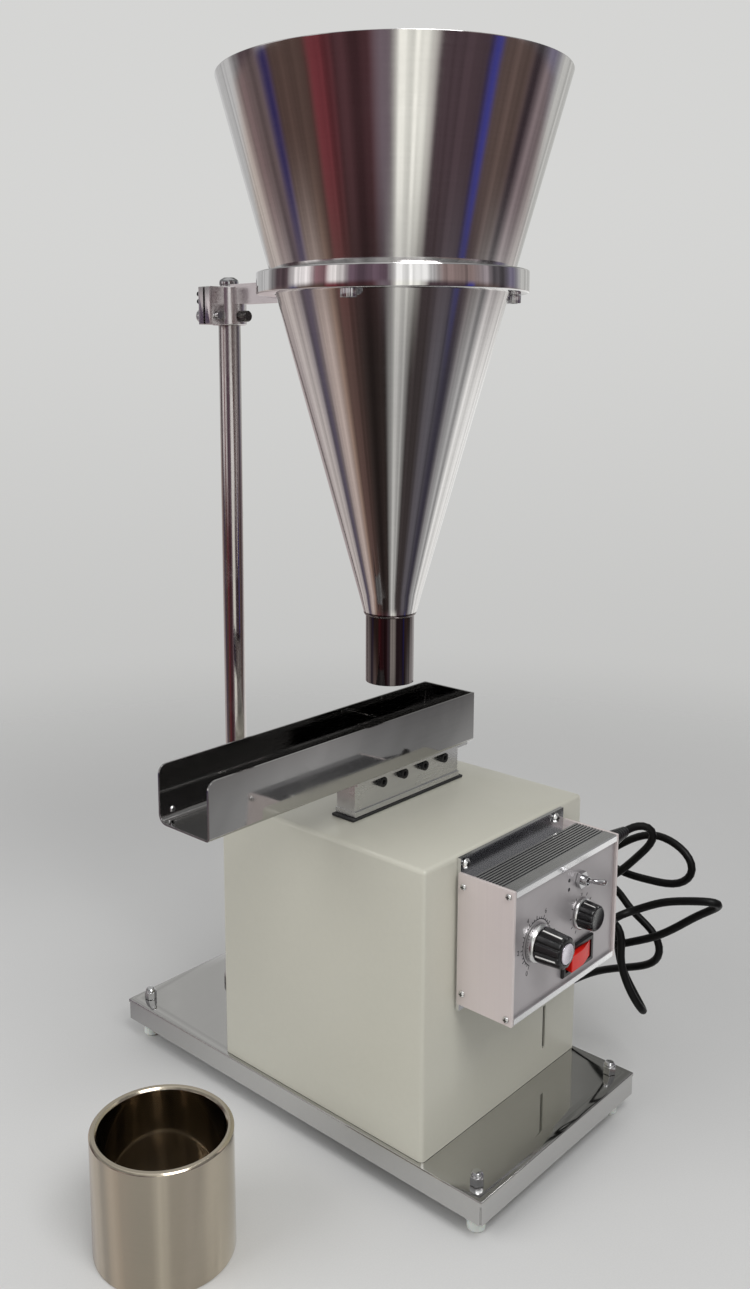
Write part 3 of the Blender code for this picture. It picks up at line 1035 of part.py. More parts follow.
def make_leads():
    """Both leads along their routes in millimetres; the mains lead ends in its stored coil and plug."""
    x, z = CONNECTOR_AT
    start = (x, BOX_BACK + CONNECTOR_LENGTH + GAP, z)
    gx, gz = GROMMET_AT
    end = (gx, CABINET_BACK + 2.7 * MM + GAP, gz)
    way = [(150, 101, 198), (150.5, 107, 198.5), (157, 113, 200), (163, 115, 195), (160, 115, 186),
           (151, 114, 175), (139, 116, 161), (125, 118, 148), (113, 119, 141), (104, 121, 144),
           (108, 122, 153), (121, 123, 155), (134, 123, 154), (148, 124, 154), (163, 124, 155),
           (176, 125, 157), (185, 125, 165), (187, 125, 173), (181, 126, 181), (170, 127, 186),
           (156, 129, 187), (141, 131, 181), (126, 130, 170), (112, 122, 158), (104, 108, 151)]
    cord("vibrator_cord", [start] + [tuple(v * MM for v in p) for p in way] + [end], RUBBER)

    x, z = GLAND_AT
    start = (x, BOX_BACK + GLAND_LENGTH + GAP, z)
    way = [(148, 93, 136), (148.3, 99, 136.3), (155, 103, 139), (173, 106, 150), (193, 107, 160),
           (207, 109, 162), (212, 111, 157), (200, 111, 145), (173, 110, 125), (149, 110, 111),
           (131, 109, 102), (119, 107, 104), (117, 105, 114), (127, 102, 126), (140, 100, 129),
           (148, 100, 123), (148, 100, 112), (147, 101, 99), (152, 102, 84), (159, 104, 71),
           (161, 110, 65), (155, 116, 66), (145, 117, 77), (138, 117, 89), (136, 117, 102),
           (132, 117, 115), (123, 118, 125), (114, 121, 133), (118, 125, 140), (129, 126, 136),
           (139, 125, 128), (152, 124, 122), (162, 124, 115), (166, 124, 105), (161, 126, 94),
           (149, 127, 86), (128, 129, 76), (109, 132, 65), (88, 138, 48), (64, 150, 26), (44, 163, 9),
           (26, 169.5, 3.4)]
    cx, cy = COIL_AT
    beside = COIL_OUTER + CORD_RADIUS + GAP
    last = [(cx + ahead, cy - beside, CORD_RADIUS + GAP) for ahead in (COIL_APPROACH, 0)]
    cord("mains_cord", [start] + [tuple(v * MM for v in p) for p in way] + last, RUBBER)

    inner = COIL_MEAN_RADIUS - COIL_BUILD / 2
    ease = 2 * MM
    profile = [(inner, ease), (inner + ease, 0), (COIL_OUTER - ease, 0), (COIL_OUTER, ease),
               (COIL_OUTER, COIL_HEIGHT - ease), (COIL_OUTER - ease, COIL_HEIGHT),
               (inner + ease, COIL_HEIGHT), (inner, COIL_HEIGHT - ease)]
    node("mains_coil", turned(profile, (cx, cy, 0), segments=32), RUBBER)

    ease = 2.5 * MM
    px = cx - COIL_MEAN_RADIUS
    reach = COIL_OUTER + GAP + ease
    py = cy + math.sqrt(reach ** 2 - (COIL_MEAN_RADIUS - PLUG_WIDTH / 2 + ease) ** 2) - ease
    body = block((px - PLUG_WIDTH / 2, py, 0), (px + PLUG_WIDTH / 2, py + PLUG_LENGTH, PLUG_THICK),
                 ease, None, 2)
    pins = []
    for side in (-1, 1):
        pins.append(rod(PIN_RADIUS, py + PLUG_LENGTH - 3 * MM, py + PLUG_LENGTH + PIN_LENGTH,
                        (px + side * PIN_SPACING / 2, 0, PLUG_THICK / 2), "Y", 14, 0.6 * MM))
    node("mains_plug", join(body, *pins), BLACK_PLASTIC)


def make_cup():
    inner = CUP_RADIUS - CUP_WALL
    profile = [(0, 0), (CUP_RADIUS - CUP_CHAMFER, 0), (CUP_RADIUS, CUP_CHAMFER),
               (CUP_RADIUS, CUP_HEIGHT - CUP_CHAMFER), (CUP_RADIUS - CUP_CHAMFER, CUP_HEIGHT),
               (inner + CUP_CHAMFER, CUP_HEIGHT), (inner, CUP_HEIGHT - CUP_CHAMFER), (inner, CUP_BASE),
               (0, CUP_BASE)]
    node("receiving_cup", turned(profile, (CUP_X, CUP_Y, 0), segments=48), SATIN, (CUP_X, CUP_Y, 0))


make_tray()
make_feet()
make_cabinet()
make_gasket()
make_drive()
make_bracket()
make_bracket_screws()
make_trough()
make_post()
make_arm()
make_ring()
make_funnel()
make_box()
make_end_plates()
make_ear_screws()
make_panel()
make_board()
make_knobs()
make_toggle()
make_rocker()
make_connectors()
make_leads()
make_cup()
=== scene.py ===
import math

import bmesh
import bpy
from mathutils import Matrix, Vector


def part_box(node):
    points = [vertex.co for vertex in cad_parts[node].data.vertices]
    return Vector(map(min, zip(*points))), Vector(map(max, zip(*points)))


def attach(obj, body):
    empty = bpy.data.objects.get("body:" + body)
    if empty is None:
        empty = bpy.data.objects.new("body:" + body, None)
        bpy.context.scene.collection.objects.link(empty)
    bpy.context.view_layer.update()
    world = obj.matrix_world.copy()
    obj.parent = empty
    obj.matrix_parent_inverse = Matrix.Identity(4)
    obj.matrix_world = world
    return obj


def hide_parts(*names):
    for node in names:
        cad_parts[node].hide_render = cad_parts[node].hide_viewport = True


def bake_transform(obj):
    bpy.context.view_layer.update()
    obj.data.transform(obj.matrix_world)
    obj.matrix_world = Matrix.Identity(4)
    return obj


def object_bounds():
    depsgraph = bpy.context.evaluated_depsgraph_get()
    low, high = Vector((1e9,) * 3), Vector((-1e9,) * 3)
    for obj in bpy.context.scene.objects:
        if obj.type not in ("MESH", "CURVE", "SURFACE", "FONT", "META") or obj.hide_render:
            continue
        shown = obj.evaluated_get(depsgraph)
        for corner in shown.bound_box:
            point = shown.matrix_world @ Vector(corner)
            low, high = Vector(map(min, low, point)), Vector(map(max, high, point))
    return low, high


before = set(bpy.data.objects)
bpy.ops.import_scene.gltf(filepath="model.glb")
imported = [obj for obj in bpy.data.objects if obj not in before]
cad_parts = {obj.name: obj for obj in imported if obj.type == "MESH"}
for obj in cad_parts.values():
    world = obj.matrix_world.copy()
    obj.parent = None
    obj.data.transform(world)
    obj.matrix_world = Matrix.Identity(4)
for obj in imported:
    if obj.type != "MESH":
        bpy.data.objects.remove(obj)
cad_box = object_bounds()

MM = 0.001

# ---------------------------------------------------------------- camera
# The camera stands in front of the discharge end and to the machine's right, a little below the
# funnel's ring, and looks slightly down. Its lens is shifted a little across and down.
heading = math.radians(43.162)
downwards = math.radians(9.439)
roll = math.radians(-0.163)
camera = bpy.data.objects.new("camera", bpy.data.cameras.new("camera"))
camera.matrix_world = (Matrix.Translation((522.22 * MM, -525.71 * MM, 516.18 * MM))
                       @ Matrix.Rotation(heading, 4, "Z")
                       @ Matrix.Rotation(math.pi / 2 - downwards, 4, "X")
                       @ Matrix.Rotation(roll, 4, "Z"))
camera.data.lens = 33.315
camera.data.sensor_width = 36
camera.data.shift_x = 0.0361
camera.data.shift_y = -0.0676
camera.data.clip_start = 0.01
bpy.context.scene.collection.objects.link(camera)
bpy.context.scene.camera = camera
bpy.context.scene.view_settings.view_transform = "Standard"

# ---------------------------------------------------------------- studio
# A pale floor that fades into a pale background, two soft lamps, and for polished metal a ring of
# light and dark cards round the machine. The cards are seen only in reflections.
def put(tree, kind, ins=(), **settings):
    """Add one shader node; ins holds its inputs by name or number, as values or other nodes' outputs."""
    made = tree.nodes.new("ShaderNode" + kind)
    for name, value in settings.items():
        setattr(made, name, value)
    for key, value in dict(ins).items():
        if isinstance(value, bpy.types.NodeSocket):
            tree.links.new(value, made.inputs[key])
        else:
            made.inputs[key].default_value = value
    return made


def math_node(tree, operation, *values, clamp=False):
    """The result of one Math node."""
    return put(tree, "Math", dict(enumerate(values)), operation=operation, use_clamp=clamp).outputs[0]


def mix_colour(tree, amount, one, two, blend="MIX"):
    """The colour that a Mix node makes from two others."""
    return put(tree, "Mix", {0: amount, 6: one, 7: two}, data_type="RGBA", blend_type=blend).outputs[2]


def fade(tree, value, start, stop, low=0.0, high=1.0):
    """Map a value from start..stop smoothly to low..high."""
    return put(tree, "MapRange", {"Value": value, "From Min": start, "From Max": stop, "To Min": low,
                                  "To Max": high}, interpolation_type="SMOOTHSTEP").outputs[0]


def colour_bands(tree, value, stops):
    """A colour ramp with the given (place, colour) stops."""
    ramp = put(tree, "ValToRGB", {0: value})
    points = ramp.color_ramp.elements
    while len(points) < len(stops):
        points.new(0.5)
    for point, (place, colour) in zip(points, stops):
        point.position = place
        point.color = (*colour, 1)
    return ramp.outputs["Color"]


middle = (cad_box[0] + cad_box[1]) / 2
world = bpy.data.worlds.new("studio")
world.use_nodes = True
bpy.context.scene.world = world
tree = world.node_tree
tree.nodes.clear()
way = put(tree, "SeparateXYZ", {0: put(tree, "TexCoord").outputs["Generated"]})
turn = math_node(tree, "ARCTAN2", way.outputs["Y"], way.outputs["X"])
# The first card starts at this share of a turn round the machine.
cards_begin = 0.63
turn = math_node(tree, "ADD", math_node(tree, "DIVIDE", turn, 2 * math.pi), cards_begin)
turn = math_node(tree, "FRACT", turn)


def ring_of_cards(*cards):
    """Cards round the machine as a colour ramp; each is a bearing from..to and its brightness in RGB."""
    stops = []
    for start, stop, *colour in cards:
        stops += [(start, colour)] + ([(stop, colour)] if stop > start else [])
    return colour_bands(tree, turn, stops)


# Seen by the cone above its ring, by the cone below it, by upright faces, and by flat tops.
high_cards = ring_of_cards(
    (0.00, 0.13, 0.60, 0.53, 0.48), (0.17, 0.17, 0.30, 0.21, 0.21), (0.20, 0.225, 0.15, 0.11, 0.11),
    (0.243, 0.248, 0.05, 0.04, 0.16), (0.26, 0.33, 0.11, 0.07, 0.06), (0.342, 0.362, 0.20, 0.045, 0.055),
    (0.39, 0.45, 0.08, 0.035, 0.04), (0.47, 0.485, 0.22, 0.17, 0.20), (0.502, 0.55, 1.15, 1.15, 1.06),
    (0.575, 0.66, 0.09, 0.06, 0.07), (0.676, 0.682, 0.06, 0.06, 0.30), (0.692, 0.75, 0.13, 0.09, 0.08),
    (0.77, 0.78, 0.07, 0.05, 0.06), (0.80, 0.83, 0.24, 0.19, 0.20), (0.87, 0.87, 0.42, 0.38, 0.37),
    (0.93, 1.00, 0.68, 0.66, 0.64))
low_cards = ring_of_cards(
    (0.00, 0.09, 0.46, 0.40, 0.40), (0.14, 0.18, 0.66, 0.60, 0.58), (0.215, 0.23, 0.10, 0.085, 0.12),
    (0.265, 0.29, 0.58, 0.48, 0.44), (0.315, 0.315, 0.36, 0.25, 0.20), (0.335, 0.36, 0.13, 0.08, 0.07),
    (0.40, 0.47, 0.03, 0.022, 0.02), (0.495, 0.525, 0.60, 0.60, 0.58), (0.555, 0.60, 0.055, 0.045, 0.045),
    (0.645, 0.65, 0.15, 0.14, 0.16), (0.685, 0.70, 0.055, 0.05, 0.07), (0.72, 0.72, 0.20, 0.19, 0.20),
    (0.745, 0.775, 0.50, 0.50, 0.50), (0.81, 1.00, 0.98, 0.98, 0.96))
side_cards = ring_of_cards(
    (0.00, 0.14, 0.62, 0.62, 0.62), (0.185, 0.225, 0.10, 0.07, 0.08), (0.25, 0.29, 1.05, 1.00, 1.00),
    (0.31, 0.335, 0.30, 0.17, 0.19), (0.35, 0.37, 1.10, 1.05, 1.03), (0.395, 0.48, 0.15, 0.10, 0.13),
    (0.505, 0.56, 1.20, 1.20, 1.18), (0.585, 0.585, 0.55, 0.54, 0.54), (0.61, 0.68, 0.32, 0.24, 0.23),
    (0.715, 0.72, 0.38, 0.33, 0.35), (0.745, 0.78, 0.11, 0.10, 0.11), (0.815, 0.82, 0.22, 0.20, 0.28),
    (0.86, 1.00, 0.60, 0.60, 0.58))
top_cards = ring_of_cards(
    (0.00, 0.05, 0.52, 0.52, 0.51), (0.10, 0.45, 0.34, 0.34, 0.34), (0.50, 0.56, 0.80, 0.80, 0.78),
    (0.60, 0.90, 0.26, 0.26, 0.26), (0.93, 0.975, 0.20, 0.20, 0.19), (0.995, 1.00, 0.48, 0.48, 0.47))
# The high cards meet the low ones along a line that dips on one side of the machine.
dip, climb = -0.43, 0.52
aside = math_node(tree, "SUBTRACT", math_node(tree, "MULTIPLY", turn, 2.0), 1.0)
edge = math_node(tree, "MULTIPLY_ADD", math_node(tree, "MULTIPLY", aside, aside), climb, dip)
over = math_node(tree, "SUBTRACT", way.outputs["Z"], edge)
cards = mix_colour(tree, fade(tree, over, -0.10, 0.10), low_cards, high_cards)
cards = mix_colour(tree, fade(tree, way.outputs["Z"], -0.06, 0.02), cards, side_cards)
cards = mix_colour(tree, fade(tree, way.outputs["Z"], 0.22, 0.36), cards, top_cards)
streaks = put(tree, "TexNoise", {"W": math_node(tree, "MULTIPLY", turn, 34.0), "Scale": 1.0, "Detail": 5.0,
                                 "Roughness": 0.7}, noise_dimensions="1D").outputs[0]
cards = mix_colour(tree, 1.0, cards, fade(tree, streaks, 0.25, 0.75, 0.55, 1.25), "MULTIPLY")
ceiling, ambient = (0.80, 0.80, 0.79, 1), (0.42, 0.42, 0.42, 1)
# Seen straight by the camera, the background is painted darker towards its foot: painted shade on the wall
# behind.
wall_foot, wall_top = (0.53, 0.53, 0.522, 1), (0.665, 0.665, 0.655, 1)
cards = mix_colour(tree, fade(tree, way.outputs["Z"], 0.68, 0.88), cards, ceiling)
wall = mix_colour(tree, fade(tree, way.outputs["Z"], -0.42, 0.15), wall_foot, wall_top)
rays = put(tree, "LightPath").outputs
shiny = math_node(tree, "MAXIMUM", rays["Is Glossy Ray"], rays["Is Transmission Ray"])
seen = mix_colour(tree, shiny, ambient, cards)
seen = mix_colour(tree, rays["Is Camera Ray"], seen, wall)
sky = put(tree, "Background", {"Color": seen, "Strength": 1.0})
put(tree, "OutputWorld", {"Surface": sky.outputs[0]})

floor = bpy.data.objects.new("floor", bpy.data.meshes.new("floor"))
sheet = bmesh.new()
floor_radius = 1.6
bmesh.ops.create_circle(sheet, cap_ends=True, segments=96, radius=floor_radius,
                        matrix=Matrix.Translation((middle.x, middle.y, -0.1 * MM)))
sheet.to_mesh(floor.data)
sheet.free()
bpy.context.scene.collection.objects.link(floor)
paper = bpy.data.materials.new("pale_floor")
paper.use_nodes = True
tree = paper.node_tree
tree.nodes.clear()
spot = put(tree, "TexCoord").outputs["Object"]
reach = put(tree, "VectorMath", {0: spot, 1: (middle.x, middle.y, 0)}, operation="DISTANCE").outputs["Value"]
speckle = put(tree, "TexNoise", {"Vector": spot, "Scale": 900.0, "Detail": 4.0}).outputs[0]
shade = put(tree, "MapRange", {"Value": speckle, "To Min": 0.96, "To Max": 1.04}).outputs[0]
tone = mix_colour(tree, 1.0, (0.66, 0.66, 0.655, 1), shade, "MULTIPLY")
surface = put(tree, "BsdfPrincipled", {"Base Color": tone, "Roughness": 0.75})
clear = put(tree, "BsdfTransparent")
rays = put(tree, "LightPath").outputs
# The floor fades out with distance, and in reflections it fades sooner, except round the cup.
near = fade(tree, reach, 0.45, 1.35, 1.0, 0.0)
close = fade(tree, reach, 0.16, 0.38, 1.0, 0.0)
cup_low, cup_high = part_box("receiving_cup")
cup_reach = put(tree, "VectorMath", {0: spot, 1: (*((cup_low + cup_high) / 2).xy, 0)},
                operation="DISTANCE").outputs["Value"]
close = math_node(tree, "MAXIMUM", close, fade(tree, cup_reach, 0.16, 0.27, 0.65, 0.0))
keep = put(tree, "Mix", {0: rays["Is Glossy Ray"], 2: near, 3: close}, data_type="FLOAT").outputs[0]
whole = put(tree, "MixShader", {0: keep, 1: clear.outputs[0], 2: surface.outputs[0]})
put(tree, "OutputMaterial", {"Surface": whole.outputs[0]})
floor.data.materials.append(paper)


def soft_lamp(name, bearing, height, distance, size, power):
    """A square lamp that faces the machine; bearing is measured from the camera's side, to its right."""
    angle = heading - math.pi / 2 + math.radians(bearing)
    rise = math.radians(height)
    away = Vector((math.cos(angle) * math.cos(rise), math.sin(angle) * math.cos(rise), math.sin(rise)))
    lamp = bpy.data.objects.new(name, bpy.data.lights.new(name, "AREA"))
    lamp.data.size = size
    lamp.data.energy = power
    lamp.location = Vector((middle.x, middle.y, 0.3)) + away * distance
    lamp.rotation_euler = away.to_track_quat("Z", "Y").to_euler()
    bpy.context.scene.collection.objects.link(lamp)
    return lamp


soft_lamp("key_lamp", 22, 48, 1.7, 0.8, 15.0)
soft_lamp("fill_lamp", -62, 26, 1.8, 1.2, 12.0).visible_glossy = False

# ---------------------------------------------------------------- base tray
# A tray of polished stainless sheet, 1.5 mm thick, folded down on four sides and left open at its
# corners. Everything else stands on it. Brush lines, finger marks and dust make its finish; its edges
# are lightened, partly as wear and partly as a painted highlight.
def effect(name, ins, outs):
    """A new node group: its tree, its inputs by name, and its outputs by name to link into."""
    group = bpy.data.node_groups.new(name, "ShaderNodeTree")
    for label, value in ins.items():
        kind = "NodeSocketVector" if isinstance(value, tuple) else "NodeSocketFloat"
        group.interface.new_socket(label, in_out="INPUT", socket_type=kind).default_value = value
    for label in outs:
        group.interface.new_socket(label, in_out="OUTPUT", socket_type="NodeSocketFloat")
    enter = group.nodes.new("NodeGroupInput")
    leave = group.nodes.new("NodeGroupOutput")
    return group, enter.outputs, leave.inputs


def place(tree, name, **ins):
    """Put a finished group into a material and hand back its first output."""
    made = tree.nodes.new("ShaderNodeGroup")
    made.node_tree = bpy.data.node_groups[name]
    for key, value in ins.items():
        if isinstance(value, bpy.types.NodeSocket):
            tree.links.new(value, made.inputs[key])
        else:
            made.inputs[key].default_value = value
    return made.outputs[0]


group, enter, leave = effect("brush_lines", {"Vector": (0, 0, 0), "Stretch": (1, 1, 1)}, ["Lines"])
spread = put(group, "VectorMath", {0: enter["Vector"], 1: enter["Stretch"]}, operation="MULTIPLY").outputs[0]
lines = put(group, "TexNoise", {"Vector": spread, "Scale": 1.0, "Detail": 4.0, "Roughness": 0.65}).outputs[0]
group.links.new(lines, leave["Lines"])

group, enter, leave = effect("finger_marks", {"Vector": (0, 0, 0), "Fineness": 22.0}, ["Marks"])
cloud = put(group, "TexNoise", {"Vector": enter["Vector"], "Scale": enter["Fineness"], "Detail": 5.0,
                                "Roughness": 0.62, "Distortion": 0.8}).outputs[0]
group.links.new(fade(group, cloud, 0.42, 0.72), leave["Marks"])

# Lightened edges: partly wear, partly a painted highlight along the rounds that catch the light.
group, enter, leave = effect("worn_and_highlit_edges", {"Width": 0.0006}, ["Edge"])
rounded = put(group, "Bevel", {"Radius": enter["Width"]}, samples=4).outputs[0]
facing = put(group, "NewGeometry").outputs["Normal"]
same = put(group, "VectorMath", {0: rounded, 1: facing}, operation="DOT_PRODUCT").outputs["Value"]
group.links.new(fade(group, math_node(group, "SUBTRACT", 1.0, same), 0.01, 0.22), leave["Edge"])

group, enter, leave = effect("settled_dust", {"Vector": (0, 0, 0), "Amount": 0.3}, ["Dust"])
up = put(group, "SeparateXYZ", {0: put(group, "NewGeometry").outputs["Normal"]}).outputs[2]
grit = put(group, "TexNoise", {"Vector": enter["Vector"], "Scale": 70.0, "Detail": 8.0,
                               "Roughness": 0.75}).outputs[0]
grit = fade(group, grit, 0.45, 0.75)
lying = math_node(group, "MULTIPLY", fade(group, up, 0.6, 0.95), grit)
group.links.new(math_node(group, "MULTIPLY", lying, enter["Amount"]), leave["Dust"])


def brushed(*stretch):
    """Texture of straight brush lines; the scale is large across the lines and small along them."""
    return lambda tree, spot: place(tree, "brush_lines", Vector=spot, Stretch=stretch)


def finish(name, colour, rough, texture, depth, metallic=0.0, tone=0.05, spread=0.08, marks=0.06,
           edge=None, dust=0.0, around=None, **shader_values):
    """A material: its texture varies tone, roughness and height; marks, dust and lightened edges, partly wear
    and partly painted highlight, go over it.
    """
    made = bpy.data.materials.new(name)
    made.use_nodes = True
    tree = made.node_tree
    shader = tree.nodes["Principled BSDF"]
    spot = put(tree, "TexCoord").outputs["Object"]
    height = texture(tree, spot)
    smudge = place(tree, "finger_marks", Vector=spot)
    darker = tuple(c * (1 - tone) for c in colour)
    lighter = tuple(min(1.0, c * (1 + tone)) for c in colour)
    base = mix_colour(tree, height, (*darker, 1), (*lighter, 1))
    base = mix_colour(tree, math_node(tree, "MULTIPLY", smudge, 0.35), base, (*darker, 1))
    rough_now = math_node(tree, "MULTIPLY_ADD", height, spread, rough - spread / 2)
    rough_now = math_node(tree, "MULTIPLY_ADD", smudge, marks, rough_now, clamp=True)
    # The edge colour is partly wear and partly a painted highlight.
    if edge:
        wear_and_highlight = math_node(tree, "MULTIPLY", place(tree, "worn_and_highlit_edges", Width=edge[1]), edge[2])
        base = mix_colour(tree, wear_and_highlight, base, (*edge[0], 1))
    if dust:
        film = place(tree, "settled_dust", Vector=spot, Amount=dust)
        base = mix_colour(tree, film, base, (0.55, 0.53, 0.50, 1))
        rough_now = math_node(tree, "MULTIPLY_ADD", film, 0.4, rough_now, clamp=True)
    relief = put(tree, "Bump", {"Height": height, "Distance": depth, "Strength": 1.0}).outputs[0]
    for key, value in (("Base Color", base), ("Roughness", rough_now), ("Normal", relief)):
        tree.links.new(value, shader.inputs[key])
    shader.inputs["Metallic"].default_value = metallic
    for key, value in shader_values.items():
        shader.inputs[key.replace("_", " ")].default_value = value
    if around:
        tree.links.new(put(tree, "Tangent", direction_type="RADIAL", axis=around).outputs[0],
                       shader.inputs["Tangent"])
    made.diffuse_color = (*colour, 1)
    return made


# Edges that turn by more than this stay sharp, or get a small round.
SHARP = math.radians(32)


def dress(name, material, soften=0.25 * MM, steps=2):
    """Give a carried-over node its finish, and round its sharp edges a little."""
    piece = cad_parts[name]
    mesh = piece.data
    if "custom_normal" in mesh.attributes:
        mesh.attributes.remove(mesh.attributes["custom_normal"])
    mesh.shade_smooth()
    mesh.materials.clear()
    mesh.materials.append(material)
    weld = piece.modifiers.new("weld", "WELD")
    weld.merge_threshold = 0.005 * MM
    if soften:
        edges = piece.modifiers.new("soft_edges", "BEVEL")
        edges.width = soften
        edges.segments = steps
        edges.limit_method = "ANGLE"
        edges.angle_limit = SHARP
        edges.harden_normals = True
    else:
        piece.modifiers.new("folds", "EDGE_SPLIT").split_angle = SHARP
    return piece


mirror_steel = finish("mirror_steel", (0.57, 0.565, 0.555), 0.055, brushed(1400, 14, 300), 0.4e-6,
                      metallic=1.0, spread=0.04, marks=0.05, tone=0.03,
                      edge=((0.85, 0.85, 0.85), 0.0008, 0.5), dust=0.05)
dress("base_tray", mirror_steel, 0.5 * MM, 3)

# ---------------------------------------------------------------- feet
# Four round feet of milky nylon, with a chamfer at the bench. Their studs pass up through the tray's
# corners, and a chrome cap nut holds each from above.
group, enter, leave = effect("orange_peel", {"Vector": (0, 0, 0), "Fineness": 500.0}, ["Height"])
large = put(group, "TexNoise", {"Vector": enter["Vector"], "Scale": enter["Fineness"], "Detail": 1.5,
                                "Roughness": 0.4}).outputs[0]
group.links.new(large, leave["Height"])


def peeled(fineness):
    """Texture of sprayed paint or of a moulding's fine grain."""
    return lambda tree, spot: place(tree, "orange_peel", Vector=spot, Fineness=fineness)


milky_nylon = finish("milky_nylon", (0.74, 0.74, 0.70), 0.38, peeled(900.0), 0.01 * MM,
                     Subsurface_Weight=0.15)
bright_chrome = finish("bright_chrome", (0.62, 0.62, 0.63), 0.08, peeled(240.0), 1e-6, metallic=1.0,
                       tone=0.03, spread=0.03, marks=0.06)
for place_name in ("front_left", "front_right", "rear_left", "rear_right"):
    dress("foot_" + place_name, milky_nylon, 0.4 * MM)
    dress("foot_nut_" + place_name, bright_chrome, 0.3 * MM)

# ---------------------------------------------------------------- cabinet
# One cover of folded steel sheet, sprayed in a warm light grey with a slight orange peel, standing on
# the tray. It has a slot in its top for the trough's bracket and a narrow one low in its right side.
cabinet_paint = finish("cabinet_paint", (0.545, 0.535, 0.46), 0.34, peeled(420.0), 0.02 * MM,
                       tone=0.02, spread=0.08, marks=0.10, edge=((0.63, 0.62, 0.56), 0.0012, 0.5),
                       dust=0.06, Coat_Weight=0.25, Coat_Roughness=0.12)
dress("cabinet_shell", cabinet_paint, 0)
soft_rubber = finish("soft_rubber", (0.018, 0.018, 0.019), 0.62, peeled(700.0), 0.02 * MM, tone=0.25,
                     spread=0.15, dust=0.12)
dress("cabinet_gasket", soft_rubber, 0.4 * MM)
dress("cabinet_grommet", soft_rubber, 0.3 * MM)

# ---------------------------------------------------------------- vibratory drive
# Inside the cabinet: a cast-iron mass on a rubber pad, two leaf springs clamped to it, and a laminated
# magnet with its coil under the armature. It is out of sight once the cover is on.
cast_iron = finish("cast_iron", (0.15, 0.15, 0.16), 0.6, peeled(300.0), 0.12 * MM, metallic=0.5, tone=0.2,
                   spread=0.25, edge=((0.3, 0.3, 0.3), 0.001, 0.6))
laminations = finish("laminations", (0.20, 0.20, 0.21), 0.5, brushed(1800, 8, 8), 0.05 * MM, metallic=0.7,
                     tone=0.3, spread=0.2)
blue_spring = finish("blue_spring", (0.34, 0.36, 0.41), 0.3, brushed(900, 8, 40), 2e-6, metallic=1.0)
copper_wire = finish("copper_wire", (0.62, 0.24, 0.09), 0.34, brushed(20, 20, 1600), 0.12 * MM,
                     metallic=0.8, tone=0.35)
dress("isolator_pad", soft_rubber, 0.8 * MM)
dress("vibrator_base", cast_iron, 0.8 * MM)
dress("magnet_core", laminations)
dress("armature", laminations)
dress("magnet_coil", copper_wire, 0.5 * MM)


def piece_from(form, name, material, body, slot, *stands_for, sharp=SHARP):
    """Make a piece of a finished bmesh. It rides on a body if one is given, and stands for the CAD
    nodes named last."""
    mesh = bpy.data.meshes.new(name)
    bmesh.ops.recalc_face_normals(form, faces=form.faces)
    form.to_mesh(mesh)
    form.free()
    mesh.materials.append(material)
    mesh.shade_smooth()
    mesh.set_sharp_from_angle(angle=sharp)
    piece = bpy.data.objects.new(name, mesh)
    bpy.context.scene.collection.objects.link(piece)
    if body:
        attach(piece, body)
    if stands_for:
        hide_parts(*stands_for)
    return piece


# Each spring is clamped to the mass and carries the platform; here its blade is sliced along its height and
# rides on no body.
blade_parts = 16
for name in ("leaf_spring_front", "leaf_spring_rear"):
    low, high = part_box(name)
    form = bmesh.new()
    form.from_mesh(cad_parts[name].data)
    bmesh.ops.remove_doubles(form, verts=form.verts, dist=0.005 * MM)
    for step in range(1, blade_parts):
        level = low.z + (high.z - low.z) * step / blade_parts
        bmesh.ops.bisect_plane(form, geom=form.verts[:] + form.edges[:] + form.faces[:],
                               plane_co=(0, 0, level), plane_no=(0, 0, 1))
    blade = piece_from(form, name + "_blade", blue_spring, None, "spring_steel", name)
    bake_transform(blade)

# ---------------------------------------------------------------- trough bracket
# An aluminium carrier milled from bar. It comes up through the rubber-lined slot, and four black
# socket screws go into its side below the trough.
milled_aluminium = finish("milled_aluminium", (0.66, 0.665, 0.67), 0.27, brushed(600, 12, 900), 3e-6,
                          metallic=1.0, tone=0.06, spread=0.14, marks=0.1,
                          edge=((0.9, 0.9, 0.9), 0.0006, 0.6))
dress("trough_bracket", milled_aluminium, 0.35 * MM)


def eased(profile, steps=5):
    """Round the corners of a profile: a point's third number says how far its round reaches."""
    out = []
    for number, point in enumerate(profile):
        here = Vector(point[:2])
        if len(point) == 2:
            out.append(tuple(here))
            continue
        before = Vector(profile[number - 1][:2]) - here
        after = Vector(profile[(number + 1) % len(profile)][:2]) - here
        one = here + before.normalized() * min(point[2], before.length / 2)
        two = here + after.normalized() * min(point[2], after.length / 2)
        for step in range(steps + 1):
            t = step / steps
            out.append(tuple(one * (1 - t) ** 2 + here * 2 * t * (1 - t) + two * t ** 2))
    return out


def bridge(form, rings):
    """Lay faces between rings of points; a ring may be a single point."""
    for one, two in zip(rings, rings[1:]):
        count = max(len(one), len(two))
        for step in range(count):
            ahead = (step + 1) % count
            corners = [one[step % len(one)], one[ahead % len(one)], two[ahead % len(two)],
                       two[step % len(two)]]
            corners = list(dict.fromkeys(corners))
            if len(corners) > 2:
                form.faces.new(corners)


